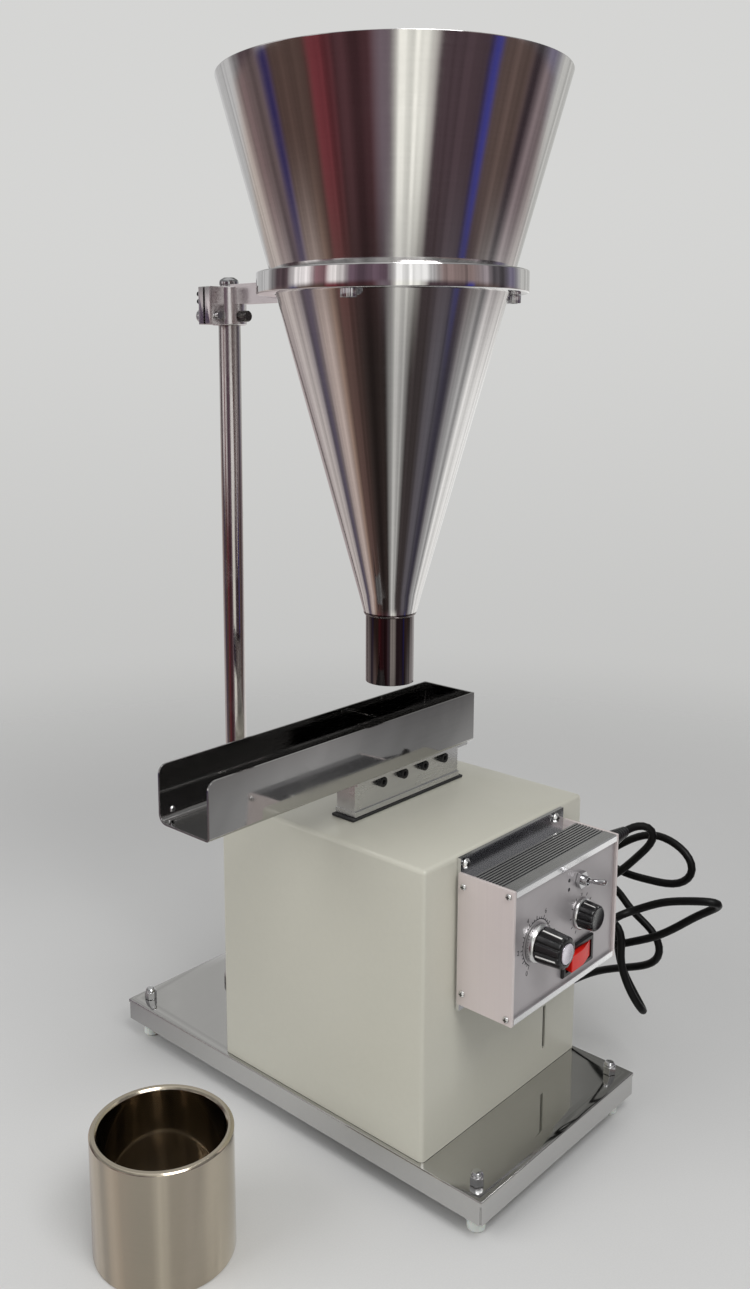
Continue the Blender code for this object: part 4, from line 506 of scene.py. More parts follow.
def turned(profile, at, axis="Z", segments=96, ripple=None, form=None):
    """Turn (radius, height) points about an axis through at. ripple(angle, radius) scales the radius."""
    lay = {"X": lambda a, b, h: (h, a, b), "Y": lambda a, b, h: (b, h, a), "Z": lambda a, b, h: (a, b, h)}
    form = form or bmesh.new()
    rings = []
    for radius, height in profile:
        count = segments if radius > 1e-7 else 1
        ring = []
        for step in range(count):
            angle = 2 * math.pi * step / segments
            reach = radius * (ripple(angle, radius) if ripple else 1)
            spot = Vector(lay[axis](reach * math.cos(angle), reach * math.sin(angle), height))
            ring.append(form.verts.new(spot + Vector(at)))
        rings.append(ring)
    bridge(form, rings if len(rings[0]) == 1 else rings + rings[:1])
    return form


def spun(points, at, axis="Z", segments=96, ripple=None, form=None, steps=4):
    """Round and turn a profile given in millimetres; its heights start at the point at."""
    return turned(eased([tuple(value * MM for value in point) for point in points], steps), at, axis,
                  segments, ripple, form)


def screw_place(node, axis, outward):
    """A point on a screw's axis, its head's radius, and its outer and inner ends along the axis."""
    low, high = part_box(node)
    index = "XYZ".index(axis)
    at = (low + high) / 2
    at[index] = 0
    radius = max(high[i] - low[i] for i in range(3) if i != index) / 2
    ends = (high[index], low[index])
    return at, radius, *(ends if outward > 0 else ends[::-1])


def socket_head(node, axis, outward, material, body, slot):
    """A socket-head screw in place of a CAD one: knurled head with a hexagon socket, and its shank."""
    at, radius, tip, root = screw_place(node, axis, outward)
    head = radius * 1.03
    seat = tip - outward * head
    knurl = 36
    ribs = turned(eased([(radius * 0.55, tip - outward * 0.01 * MM), (radius * 0.97, tip, 0.35 * MM),
                         (radius * 0.99, seat, 0.2 * MM), (radius * 0.5, seat), (radius * 0.5, root),
                         (radius * 0.25, root), (radius * 0.25, tip - outward * head * 0.7)], 3), at,
                  axis, 144, lambda a, r: 1 - 0.02 * (math.cos(knurl * a) > 0) * (r > radius * 0.9))
    reach = radius * 0.56
    turned([(0, tip - outward * head * 0.6), (reach, tip - outward * head * 0.6), (reach, tip)], at, axis,
           6, form=ribs)
    return piece_from(ribs, node + "_screw", material, body, slot, node)


black_oxide = finish("black_oxide", (0.022, 0.022, 0.024), 0.32, peeled(900.0), 4e-6, metallic=0.55,
                     tone=0.25, spread=0.12, edge=((0.16, 0.16, 0.16), 0.0004, 0.5))
for number in range(1, 5):
    socket_head(f"bracket_screw_{number}", "X", 1, black_oxide, "vibrating_tray", "black_oxide")

# ---------------------------------------------------------------- trough
# A channel of mirror-polished stainless sheet 1.2 mm thick, folded along two lines, closed by a welded
# plate at its back end. Its upper front corners are rounded, and one rivet shows inside.
low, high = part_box("trough")
sheet_thick = 1.2 * MM
far_fold, near_fold = 6 * MM, 2.4 * MM
corner = 6 * MM
half = (high.x - low.x) / 2
centre_x = (high.x + low.x) / 2
section = [(-half, "top")]
for step in range(13):
    angle = math.pi / 2 * step / 12
    section.append((-half + far_fold * (1 - math.cos(angle)), far_fold * (1 - math.sin(angle))))
for step in range(13):
    angle = math.pi / 2 * step / 12
    section.append((half - near_fold * (1 - math.sin(angle)), near_fold * (1 - math.cos(angle))))
section.append((half, "top"))
stations = []
for step in range(9):
    angle = math.pi / 2 * step / 8
    stations.append((low.y + corner * (1 - math.cos(angle)), high.z - corner * (1 - math.sin(angle))))
stations.append((high.y, high.z))
form = bmesh.new()
rows = []
for y, top in stations:
    rows.append([form.verts.new((centre_x + x, y, top if z == "top" else low.z + z)) for x, z in section])
for one, two in zip(rows, rows[1:]):
    for a, b, c, d in zip(one, one[1:], two[1:], two):
        form.faces.new((a, b, c, d))
form.faces.new(rows[-1])
mirror_trough = finish("mirror_trough", (0.42, 0.415, 0.41), 0.05, brushed(60, 8, 900), 0.5e-6,
                       metallic=1.0, tone=0.04, spread=0.05, marks=0.06)
brim_angle = math.radians(40)
trough = piece_from(form, "trough_sheet", mirror_trough, "vibrating_tray", "polished_stainless", "trough",
                    sharp=brim_angle)
wall = trough.modifiers.new("sheet", "SOLIDIFY")
wall.thickness = sheet_thick
wall.offset = -1
wall.use_even_offset = True
brim = trough.modifiers.new("filed_edges", "BEVEL")
brim.width = 0.25 * MM
brim.segments = 2
brim.limit_method = "ANGLE"
brim.angle_limit = brim_angle
brim.harden_normals = True
rivet_back, rivet_up = 9.4 * MM, 6.2 * MM
rivet = spun([(0, 1), (1.4, 1, 0.6), (2.1, 0), (0, 0)],
             (low.x + sheet_thick, low.y + rivet_back, low.z + rivet_up), "X", 32)
piece_from(rivet, "trough_rivet", bright_chrome, "vibrating_tray", "chrome")

# ---------------------------------------------------------------- post
# A chromed steel post, 16 mm thick, screwed to the tray through a small flange. Its chrome is drawn
# lengthwise and slightly spotted; a domed cap closes its top.
drawn_chrome = finish("drawn_chrome", (0.52, 0.49, 0.48), 0.12, brushed(700, 700, 7), 2e-6, metallic=1.0,
                      tone=0.12, spread=0.12, marks=0.14, Anisotropic=0.3)


def centre_of(node):
    """The middle of a node's box."""
    low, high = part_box(node)
    return (low + high) / 2


at = centre_of("post")
low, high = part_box("post")
tall = (high.z - low.z) / MM
post_radius, flange, tray_top, flange_top = 8, 12.5, 1.8, 7.8
form = spun([(0, 0), (6, 0), (6, tray_top), (flange, tray_top, 0.4), (flange, flange_top, 1.2),
             (post_radius + 1.2, flange_top, 1), (post_radius, flange_top + 1.5), (post_radius, tall, 1),
             (0, tall)], (at.x, at.y, low.z))
piece_from(form, "post_rod", drawn_chrome, "post", "chrome", "post")
low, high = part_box("post_cap")
tall = (high.z - low.z) / MM
form = spun([(0, 0), (6.6, 0), (6.6, 0.6), (7, 1, 0.5), (7, tall - 2.2, 1.6), (3.4, tall, 0.6),
             (3, tall - 1.4), (0, tall - 1.4)], (at.x, at.y, low.z), steps=5)
group, enter, leave = effect("lathe_lines", {"Vector": (0, 0, 0), "Fineness": 900.0}, ["Lines"])
axis = put(group, "SeparateXYZ", {0: enter["Vector"]}).outputs
across = math_node(group, "SQRT", math_node(group, "ADD", math_node(group, "MULTIPLY", axis[0], axis[0]),
                                            math_node(group, "MULTIPLY", axis[1], axis[1])))
bearing = math_node(group, "ARCTAN2", axis[1], axis[0])
rows = put(group, "CombineXYZ", {0: math_node(group, "MULTIPLY", across, enter["Fineness"]),
                                 1: math_node(group, "MULTIPLY", axis[2], enter["Fineness"]),
                                 2: math_node(group, "MULTIPLY", bearing, 1.5)}).outputs[0]
lines = put(group, "TexNoise", {"Vector": rows, "Scale": 1.0, "Detail": 4.0, "Roughness": 0.6}).outputs[0]
group.links.new(lines, leave["Lines"])


def lathed(at, fineness=900.0, turn=(0, 0, 0)):
    """Texture of lathe lines about an upright axis through at, or about one that turn brings upright."""
    def make(tree, spot):
        moved = put(tree, "Mapping", {"Vector": spot, "Location": at, "Rotation": turn},
                    vector_type="TEXTURE").outputs[0]
        return place(tree, "lathe_lines", Vector=moved, Fineness=fineness)
    return make


dark_chrome = finish("dark_chrome", (0.42, 0.42, 0.43), 0.12, lathed((at.x, at.y, 0), 1200.0), 2e-6,
                     metallic=1.0)
piece_from(form, "post_cap_dome", dark_chrome, "post", "chrome", "post_cap")

# ---------------------------------------------------------------- clamp and arm
# A split clamp of satin aluminium with a flat arm out to the ring. A chromed screw closes its ears, a
# steel set screw bears on the post under the arm, and two small black screws sit in the left ear.
satin_aluminium = finish("satin_aluminium", (0.66, 0.63, 0.635), 0.22, brushed(10, 900, 1200), 0.4e-6,
                         metallic=1.0, tone=0.03, spread=0.05, marks=0.05,
                         edge=((0.90, 0.90, 0.90), 0.0006, 0.5))
dress("clamp_arm", satin_aluminium, 0.35 * MM)
low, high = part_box("clamp_screw")
screw_at = centre_of("clamp_screw")
tip = (high.x - low.x) / MM
ribbed = spun([(0, 2.4), (2.4, 2.4), (2.4, 0.2), (4.2, 0, 0.5), (5, 1.4, 0.5), (5, 5, 0.4), (2.5, 5),
               (2.5, tip), (0, tip)], (low.x, screw_at.y, screw_at.z), "X", 144,
              lambda a, r: 1 - 0.03 * (math.cos(32 * a) > 0) * (r > 4.6 * MM))
piece_from(ribbed, "clamp_screw_head", bright_chrome, "clamp_screw", "chrome", "clamp_screw")
sideways = (0, math.pi / 2, 0)
burnished_steel = finish("burnished_steel", (0.16, 0.155, 0.15), 0.2,
                         lathed((0, screw_at.y, screw_at.z), 900.0, sideways), 3e-6, metallic=1.0,
                         tone=0.15, spread=0.1)
dress("set_screw", burnished_steel, 0.2 * MM)
low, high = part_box("clamp_arm")
ear_face, screws_back = screw_at.x - 6.5 * MM, 3.2 * MM
for number, drop in enumerate((6.8, 12.0), 1):
    form = spun([(0, -2), (0.9, -2), (0.9, -2.4), (1.5, -2.4, 0.3), (1.9, -1.6, 0.3), (1.9, 0.1), (0, 0.1)],
                (ear_face, low.y + screws_back, high.z - drop * MM), "X", 32, steps=3)
    piece_from(form, f"ear_plate_screw_{number}", black_oxide, "arm", "black_oxide")

# ---------------------------------------------------------------- ring
# A stainless ring turned to the funnel's cone and polished, carried by the arm. Three socket screws
# come up into it from below.
ring_foot = (*centre_of("funnel_ring").xy, 0)
polished_ring = finish("polished_ring", (0.72, 0.71, 0.71), 0.045, lathed(ring_foot, 1100.0), 0.5e-6,
                       metallic=1.0, tone=0.03, spread=0.03, marks=0.03,
                       edge=((0.9, 0.9, 0.9), 0.0005, 0.6))
low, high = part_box("funnel_ring")
ring_radius = (high.x - low.x) / 2
cone_low, cone_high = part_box("funnel")
rim_radius = (cone_high.x - cone_low.x) / 2
spout_radius = 16.2 * MM
neck_radius = 17.2 * MM
neck = cone_low.z + 46.4 * MM
slope = (rim_radius - neck_radius) / (cone_high.z - neck)
clearance = 0.4 * MM


def cone_at(z):
    """The funnel's outer radius at height z."""
    return neck_radius + slope * (z - neck)


form = turned(eased([(cone_at(low.z) + clearance, low.z, 0.4 * MM), (ring_radius, low.z, 1.0 * MM),
                     (ring_radius, high.z, 1.0 * MM), (cone_at(high.z) + clearance, high.z, 0.4 * MM)], 4),
              ring_foot, segments=240)
piece_from(form, "ring_band", polished_ring, "arm", "turned_stainless", "funnel_ring")
for number in range(1, 4):
    socket_head(f"ring_screw_{number}", "Z", -1, bright_chrome, "arm", "chrome")

# ---------------------------------------------------------------- funnel
# A cone rolled from 1.2 mm stainless sheet and polished all round, so that it has faint lines around
# it. A short straight spout of a darker polish is welded to its neck.
polished_cone = finish("polished_cone", (0.72, 0.705, 0.70), 0.075, lathed(ring_foot, 650.0), 1.2e-6,
                       metallic=1.0, tone=0.05, spread=0.04, marks=0.03, around="Z", Anisotropic=0.5)
sheet_cone = sheet_thick * math.sqrt(1 + slope ** 2)
bore = spout_radius - sheet_thick
inner_neck = neck + (bore + sheet_cone - neck_radius) / slope
profile = [(spout_radius, cone_low.z, 0.3 * MM), (spout_radius, neck - 1.2 * MM),
           (spout_radius + 0.9 * MM, neck - 0.8 * MM, 0.5 * MM),
           (neck_radius + 0.5 * MM, neck + 0.5 * MM, 0.5 * MM), (neck_radius + 0.45 * MM, neck + 1.4 * MM)]
levels = [neck + (cone_high.z - neck) * step / 24 for step in range(1, 24)]
profile += [(cone_at(level), level) for level in levels]
profile += [(rim_radius, cone_high.z, 0.6 * MM), (rim_radius - sheet_cone, cone_high.z, 0.6 * MM),
            (bore, max(inner_neck, neck - 3 * MM)), (bore, cone_low.z, 0.3 * MM)]
form = turned(eased(profile, 4), ring_foot, segments=240)
cone = piece_from(form, "funnel_cone", polished_cone, "funnel", "polished_stainless", "funnel",
                  sharp=math.radians(50))
drawn_spout = finish("drawn_spout", (0.15, 0.13, 0.13), 0.06, lathed(ring_foot, 500.0), 0.6e-6,
                     metallic=1.0, tone=0.08, spread=0.03, marks=0.03)
weld_height = neck + 1.2 * MM
cone.data.materials.append(drawn_spout)
for face in cone.data.polygons:
    face.material_index = int(face.center.z < weld_height)

# ---------------------------------------------------------------- controller box
# An instrument case of extruded aluminium, screwed to the cabinet by its two ears. Painted shade
# darkens the walls of its fine ribs. Satin end plates close it; cross-head screws hold the front one at
# its corners.
extruded_aluminium = finish("extruded_aluminium", (0.90, 0.90, 0.91), 0.16, brushed(900, 6, 900), 0.5e-6,
                            metallic=1.0, tone=0.05, spread=0.06, marks=0.05)
end_silver = finish("end_silver", (0.76, 0.685, 0.67), 0.36, brushed(700, 700, 8), 1e-6, metallic=0.35,
                    tone=0.04, spread=0.12, marks=0.08, edge=((0.9, 0.9, 0.9), 0.0005, 0.5))
zinc_screw = finish("zinc_screw", (0.72, 0.72, 0.71), 0.22, peeled(900.0), 4e-6, metallic=1.0, tone=0.08)
# Painted shade: rib walls that face sideways are darkened, less towards the ears at the back and not on the
# front lip.
tree = extruded_aluminium.node_tree
paint_in = tree.nodes["Principled BSDF"].inputs["Base Color"]
facing = put(tree, "SeparateXYZ", {0: put(tree, "NewGeometry").outputs["True Normal"]}).outputs[0]
along_x = put(tree, "SeparateXYZ", {0: put(tree, "TexCoord").outputs["Object"]}).outputs[0]
lip_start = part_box("box_extrusion")[1].x - 8 * MM
rib_wall_shade_mask = math_node(tree, "MULTIPLY", fade(tree, math_node(tree, "ABSOLUTE", facing), 0.5, 0.9),
                      fade(tree, along_x, lip_start - 1 * MM, lip_start, 1.0, 0.0))
ear_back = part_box("box_extrusion")[0].x
painted_groove_shade = (0.20, 0.20, 0.22, 1)
rib_wall_shade_mask = math_node(tree, "MULTIPLY", rib_wall_shade_mask,
                      fade(tree, along_x, ear_back + 5 * MM, ear_back + 9 * MM, 0.55, 1.0))
tree.links.new(mix_colour(tree, rib_wall_shade_mask, paint_in.links[0].from_socket, painted_groove_shade), paint_in)
dress("box_extrusion", extruded_aluminium, 0)
dress("end_plate_front", end_silver, 0.3 * MM)
dress("end_plate_rear", end_silver, 0.3 * MM)
# Painted shade for the screws' cross recesses.
painted_recess_shade = finish("painted_recess_shade", (0.03, 0.03, 0.03), 0.6, peeled(600.0), 0.01 * MM)


def cross_screw(node, axis, outward, body):
    """A pan-head screw in place of a CAD screw; its cross recess is a thin dark cross on the head, painted
    shade.
    """
    at, radius, tip, root = screw_place(node, axis, outward)
    index = "XYZ".index(axis)
    dome = 0.55 * radius
    seat = tip - outward * dome
    form = turned(eased([(0, tip), (radius * 0.55, tip),
                         (radius * 0.98, tip - outward * dome * 0.75, radius * 0.4),
                         (radius, seat, 0.1 * MM), (radius * 0.55, seat), (radius * 0.55, root), (0, root)],
                        4), at, axis, 40)
    # The recess is not cut: a thin dark cross on the head stands for it as painted shade.
    at[index] = tip
    for length, width in ((0.62, 0.17), (0.17, 0.62)):
        size = [radius * length, radius * width]
        size.insert(index, 0.02 * MM)
        bmesh.ops.create_cube(form, size=2, matrix=Matrix.Translation(at) @ Matrix.Diagonal((*size, 1)))
    piece = piece_from(form, node + "_pan", zinc_screw, body, "zinc_plate", node)
    piece.data.materials.append(painted_recess_shade)
    for face in piece.data.polygons[-12:]:
        face.material_index = 1


for number in range(1, 5):
    cross_screw(f"end_screw_{number}", "Y", -1, "machine")
for number in range(1, 3):
    cross_screw(f"ear_screw_{number}", "X", 1, "machine")

# ---------------------------------------------------------------- front panel
# A satin aluminium panel held behind the case's lips, with dial marks printed on it in dark ink: a
# numbered scale round the large knob, a plain one round the small knob, and dots at the toggle.
panel_silver = finish("panel_silver", (0.52, 0.495, 0.505), 0.36, brushed(8, 8, 900), 1e-6, metallic=0.6,
                      tone=0.04, spread=0.12, marks=0.08)
dress("front_panel", panel_silver, 0.15 * MM)
green_board = finish("green_board", (0.02, 0.16, 0.05), 0.45, peeled(500.0), 0.02 * MM, tone=0.2)
dress("circuit_board", green_board, 0.2 * MM)
ink = finish("ink", (0.012, 0.012, 0.016), 0.5, peeled(900.0), 1e-6, tone=0.3)
panel_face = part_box("front_panel")[1].x
ink_lift = 0.04 * MM


def on_dial(at, angle, radius):
    """A point just over the panel, about a knob's axis; angle is clockwise from straight up."""
    return Vector((panel_face + ink_lift, at.y + radius * math.sin(angle), at.z + radius * math.cos(angle)))


def tick(form, at, angle, start, stop, width):
    """One printed line that points away from a knob's axis."""
    flat = Vector((0, math.cos(angle), -math.sin(angle))) * width / 2
    form.faces.new([form.verts.new(on_dial(at, angle, a) + flat * b)
                    for a, b in ((start, -1), (stop, -1), (stop, 1), (start, 1))])


def arc(form, at, radius, start, stop, width):
    """One printed arc about a knob's axis."""
    steps = max(6, round(abs(stop - start) / math.radians(5)))
    rows = []
    for step in range(steps + 1):
        angle = start + (stop - start) * step / steps
        rows.append([form.verts.new(on_dial(at, angle, radius + offset))
                     for offset in (-width / 2, width / 2)])
    for one, two in zip(rows, rows[1:]):
        form.faces.new((one[0], one[1], two[1], two[0]))


def printed(form, name):
    """Ink on the panel: a thin film with its own back face, so that it is a closed sheet."""
    piece = piece_from(form, name, ink, "machine", "black_plastic")
    film = piece.modifiers.new("film", "SOLIDIFY")
    film.thickness = ink_lift * 0.8
    return piece


speed_at = centre_of("knob_skirt")
fine_at = centre_of("fine_knob")
toggle_at = centre_of("toggle_bush")
sweep = math.radians(150)
form = bmesh.new()
for step in range(31):
    angle = sweep * (2 * step / 30 - 1)
    tick(form, speed_at, angle, 14.4 * MM, (16.8 if step % 3 == 0 else 15.6) * MM, 0.6 * MM)
arc(form, speed_at, 14.3 * MM, -sweep, sweep, 0.55 * MM)
printed(form, "speed_scale")
form = bmesh.new()
for step in range(11):
    angle = sweep * (2 * step / 10 - 1)
    tick(form, fine_at, angle, 11.4 * MM, 13.4 * MM, 0.6 * MM)
printed(form, "fine_scale")
form = bmesh.new()
for side in (-1, 1):
    spot_at = Vector((0, toggle_at.y - 12.5 * MM, toggle_at.z + side * 3 * MM))
    arc(form, spot_at, 0.7 * MM, 0, 2 * math.pi, 1.0 * MM)
printed(form, "toggle_dots")


def numeral(value, at, radius, angle, height):
    """One printed number on the dial, as flat type that reads upright."""
    letters = bpy.data.curves.new(f"numeral_{value}", "FONT")
    letters.body = str(value)
    letters.size = height
    letters.align_x = "CENTER"
    letters.align_y = "CENTER"
    letters.extrude = ink_lift * 0.4
    typed = bpy.data.objects.new(f"type_{value}", letters)
    piece = bpy.data.objects.new(f"dial_number_{value}", bpy.data.meshes.new_from_object(typed))
    bpy.data.objects.remove(typed)
    piece.data.materials.clear()
    piece.data.materials.append(ink)
    piece.matrix_world = (Matrix.Translation(on_dial(at, angle, radius))
                          @ Matrix.Rotation(math.pi / 2, 4, "Z") @ Matrix.Rotation(math.pi / 2, 4, "X"))
    bpy.context.scene.collection.objects.link(piece)
    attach(piece, "machine")


for value in range(0, 11, 2):
    numeral(value, speed_at, 19.3 * MM, sweep * (value / 5 - 1), 4.4 * MM)

# ---------------------------------------------------------------- knobs
# The large knob has a bright skirt, a black fluted barrel with white lines and a spun metal cap; the
# small one is black on a silver skirt. Each is pushed on its potentiometer's shaft.
glossy_black = finish("glossy_black", (0.006, 0.006, 0.007), 0.26, peeled(800.0), 4e-6, tone=0.3, spread=0.08,
                      marks=0.12, edge=((0.05, 0.05, 0.05), 0.0005, 0.5), Coat_Weight=0.12)
white_line = finish("white_line", (0.78, 0.77, 0.75), 0.4, peeled(900.0), 2e-6)
spun_cap = finish("spun_cap", (0.72, 0.68, 0.75), 0.2,
                  lathed((0, speed_at.y, speed_at.z), 1500.0, sideways), 4e-6, metallic=1.0, tone=0.06,
                  around="X", Anisotropic=0.5)
skirt_chrome = finish("skirt_chrome", (0.76, 0.76, 0.76), 0.1,
                      lathed((0, speed_at.y, speed_at.z), 900.0, sideways), 3e-6, metallic=1.0, tone=0.04)
shaft_bore = 3.4


def fluted(count, depth, limit):
    """Rounded grip flutes round a knob's barrel, wherever its radius is over a limit."""
    return lambda a, r: 1 - depth * max(0.0, math.cos(count * a)) ** 1.5 * (r > limit)


low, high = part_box("knob_skirt")
skirt_radius = (high.z - low.z) / 2 / MM
face = (high.x - low.x) / MM
form = spun([(shaft_bore, 0), (skirt_radius, 0, 0.3), (skirt_radius, 2.6, 0.5),
             (skirt_radius - 1.3, face, 0.5), (shaft_bore, face)], (low.x, speed_at.y, speed_at.z), "X", 144)
piece_from(form, "speed_knob_skirt", skirt_chrome, "speed_knob", "chrome", "knob_skirt")
low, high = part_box("speed_knob")
speed_foot = Vector((low.x, speed_at.y, speed_at.z))
speed_face = (high.x - low.x) / MM
barrel, cap_radius = 11, 6.4
form = spun([(shaft_bore, 0), (barrel, 0, 0.4), (barrel * 0.91, speed_face - 2.6),
             (barrel * 0.89, speed_face - 1.2, 1), (cap_radius + 0.6, speed_face - 0.7, 0.4),
             (cap_radius + 0.2, speed_face - 1.4), (shaft_bore, speed_face - 1.4)],
            speed_foot, "X", 240, fluted(12, 0.10, barrel * 0.84 * MM))
piece_from(form, "speed_knob_grip", glossy_black, "speed_knob", "black_plastic", "speed_knob")
form = spun([(0, speed_face - 1.5), (cap_radius, speed_face - 1.5), (cap_radius, speed_face - 0.1, 0.4),
             (cap_radius * 0.7, speed_face - 0.3), (0, speed_face - 0.4)], speed_foot, "X", 96)
piece_from(form, "speed_knob_cap", spun_cap, "speed_knob", "chrome")
low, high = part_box("fine_knob")
fine_foot = Vector((low.x, fine_at.y, fine_at.z))
fine_face = (high.x - low.x) / MM
fine_skirt = (high.z - low.z) / 2 / MM
fine_barrel = 9
form = spun([(shaft_bore, 1.9), (fine_barrel, 1.9, 0.3), (fine_barrel * 0.92, fine_face - 1, 0.9),
             (fine_barrel * 0.78, fine_face, 0.6), (fine_barrel * 0.66, fine_face - 0.6),
             (0, fine_face - 0.9), (0, fine_face - 3.4), (shaft_bore, fine_face - 3.4)],
            fine_foot, "X", 240, fluted(12, 0.10, fine_barrel * 0.84 * MM))
piece_from(form, "fine_knob_grip", glossy_black, "fine_knob", "black_plastic", "fine_knob")
form = spun([(shaft_bore, 0), (fine_skirt, 0, 0.2), (fine_skirt, 1.1, 0.3), (fine_skirt - 0.8, 1.8),
             (shaft_bore, 1.8)], fine_foot, "X", 144)
piece_from(form, "fine_knob_skirt", skirt_chrome, "fine_knob", "chrome")


def pointer(name, foot, radii, heights, width, body, angles):
    """Inlaid lines along a knob's barrel, in millimetres; the radii are those at the two heights."""
    form = bmesh.new()
    for angle in angles:
        out = Vector((0, math.cos(angle), math.sin(angle)))
        side = Vector((0, -math.sin(angle), math.cos(angle))) * width / 2
        corners = []
        for radius, height in zip(radii, heights):
            for sign in (-1, 1):
                corners.append(foot + (Vector((height, 0, 0)) + out * radius + side * sign) * MM)
        points = [form.verts.new(c) for c in (*corners, *(c - out * 0.5 * MM for c in corners))]
        for sides in ((0, 1, 3, 2), (4, 6, 7, 5), (0, 2, 6, 4), (1, 5, 7, 3), (0, 4, 5, 1), (2, 3, 7, 6)):
            form.faces.new([points[number] for number in sides])
    piece_from(form, name, white_line, body, "nylon")


ridge = [math.radians(30 * step + 15) for step in range(12)]
pointer("speed_knob_lines", speed_foot, (barrel * 1.004, barrel * 0.915), (1, speed_face - 2.8), 1.1,
        "speed_knob", ridge[::3])
pointer("fine_knob_line", fine_foot, (fine_barrel * 1.004, fine_barrel * 0.93), (2.6, fine_face - 1.4), 0.7,
        "fine_knob", [math.radians(105)])

# ---------------------------------------------------------------- toggle switch
# A small chromed toggle: threaded bush, hexagon nut and a tapered lever with a rounded tip. The nut
# clamps it to the front panel.
dress("toggle_bush", bright_chrome, 0.15 * MM)
dress("toggle_lever", bright_chrome, 0)
form = bmesh.new()
for step in range(4):
    thread = 3.1 + step * 0.75
    spun([(2.9, thread), (3.12, thread + 0.2), (3.12, thread + 0.35), (2.9, thread + 0.55)],
         (panel_face, toggle_at.y, toggle_at.z), "X", 48, form=form)
piece_from(form, "toggle_thread", bright_chrome, "machine", "chrome")

# ---------------------------------------------------------------- rocker switch
# A snap-in power switch: black frame and a red button, hollowed a little on both halves, that rocks
# about an upright pin.
clear_red = finish("clear_red", (0.70, 0.010, 0.005), 0.34, peeled(500.0), 3e-6, tone=0.15, spread=0.05,
                   Specular_IOR_Level=0.35)
dress("rocker_bezel", glossy_black, 0.3 * MM)
dress("rocker_button", clear_red, 0.5 * MM, 3)

# ---------------------------------------------------------------- connector and gland
# The vibrator's lead leaves through a screw connector: a nickel collar and a black boot. The mains lead
# leaves through a gland with a nickel nut. Both end in tapered, ribbed strain reliefs.
CORD_THICK = 5.4 * MM
nickel = finish("nickel", (0.62, 0.60, 0.58), 0.18, peeled(500.0), 3e-6, metallic=1.0, tone=0.06, marks=0.1)
wall_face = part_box("end_plate_rear")[1].y
gap = 0.3 * MM
seat = gap / MM


def relief(start, stop, thick, thin, ribs):
    """A tapered, ribbed strain relief, as (radius, height) points in millimetres."""
    points = [(0, start), (thick, start, 0.4)]
    span = (stop - start) / ribs
    for step in range(ribs):
        radius = thick + (thin - thick) * (step + 1) / ribs
        y = start + span * step
        points += [(radius + 0.25, y + 0.30 * span, 0.3), (radius + 0.2, y + 0.70 * span, 0.3),
                   (radius - 0.35, y + 0.80 * span), (radius - 0.4, y + span)]
    cord = CORD_THICK / 2 / MM
    return points + [(cord + 0.05, stop, 0.3), (cord - 0.2, stop - 1), (0, stop - 1)]


def fitting(node, name, profile, ripple, segments):
    """The metal part of a fitting on the rear plate; hands back its foot and its cord end in millimetres."""
    low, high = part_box(node)
    foot = ((low.x + high.x) / 2, wall_face, (low.z + high.z) / 2)
    inner = (low.y - wall_face) / MM
    form = spun([(0, inner), (5, inner), (5, seat), *profile], foot, "Y", segments, ripple, steps=3)
    piece_from(form, name, nickel, "machine", "chrome", node)
    return foot, (high.y - wall_face) / MM


foot, outer = fitting("vibrator_connector", "connector_collar",
                      [(7.5, seat, 0.3), (7.5, 3.2, 0.4), (6.2, 3.4), (6.2, 9.4, 0.3), (5.2, 9.8), (0, 9.8)],
                      lambda a, r: 1 - 0.025 * (math.cos(40 * a) > 0) * (6 * MM < r < 6.4 * MM), 144)
form = spun(relief(10, outer, 6.2, 3.4, 7), foot, "Y", 64, steps=3)
piece_from(form, "connector_boot", glossy_black, "machine", "black_plastic")
foot, outer = fitting("mains_gland", "gland_nut",
                      [(7, seat, 0.3), (7, 4, 0.4), (6.2, 4.4), (6.2, 8, 0.8), (4.6, 9.5), (0, 9.5)],
                      lambda a, r: 1 - 0.06 * (math.cos(6 * a) ** 2) * (r > 6.5 * MM), 96)
form = spun(relief(9.6, outer, 4.9, 3.0, 5), foot, "Y", 64, steps=3)
piece_from(form, "gland_relief", glossy_black, "machine", "black_plastic")

# ---------------------------------------------------------------- receiving cup
# A thick-walled cup turned from stainless bar, left satin, with a chamfer inside and outside its rim.
# Its bore is turned finer, and its floor is duller and darkened with painted shade.
at = centre_of("receiving_cup")
low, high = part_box("receiving_cup")
radius, tall = (high.x - low.x) / 2 / MM, (high.z - low.z) / MM
wall, base = 4.6, 4
cup_foot = (at.x, at.y, 0)
satin_cup = finish("satin_cup", (0.55, 0.49, 0.395), 0.115, lathed(cup_foot, 900.0), 0.6e-6,
                   metallic=1.0, tone=0.04, spread=0.04, marks=0.04, around="Z", Anisotropic=0.6)
bored_cup = finish("bored_cup", (0.62, 0.56, 0.47), 0.07, lathed(cup_foot, 900.0), 0.8e-6,
                   metallic=1.0, tone=0.08, spread=0.03, marks=0.04)
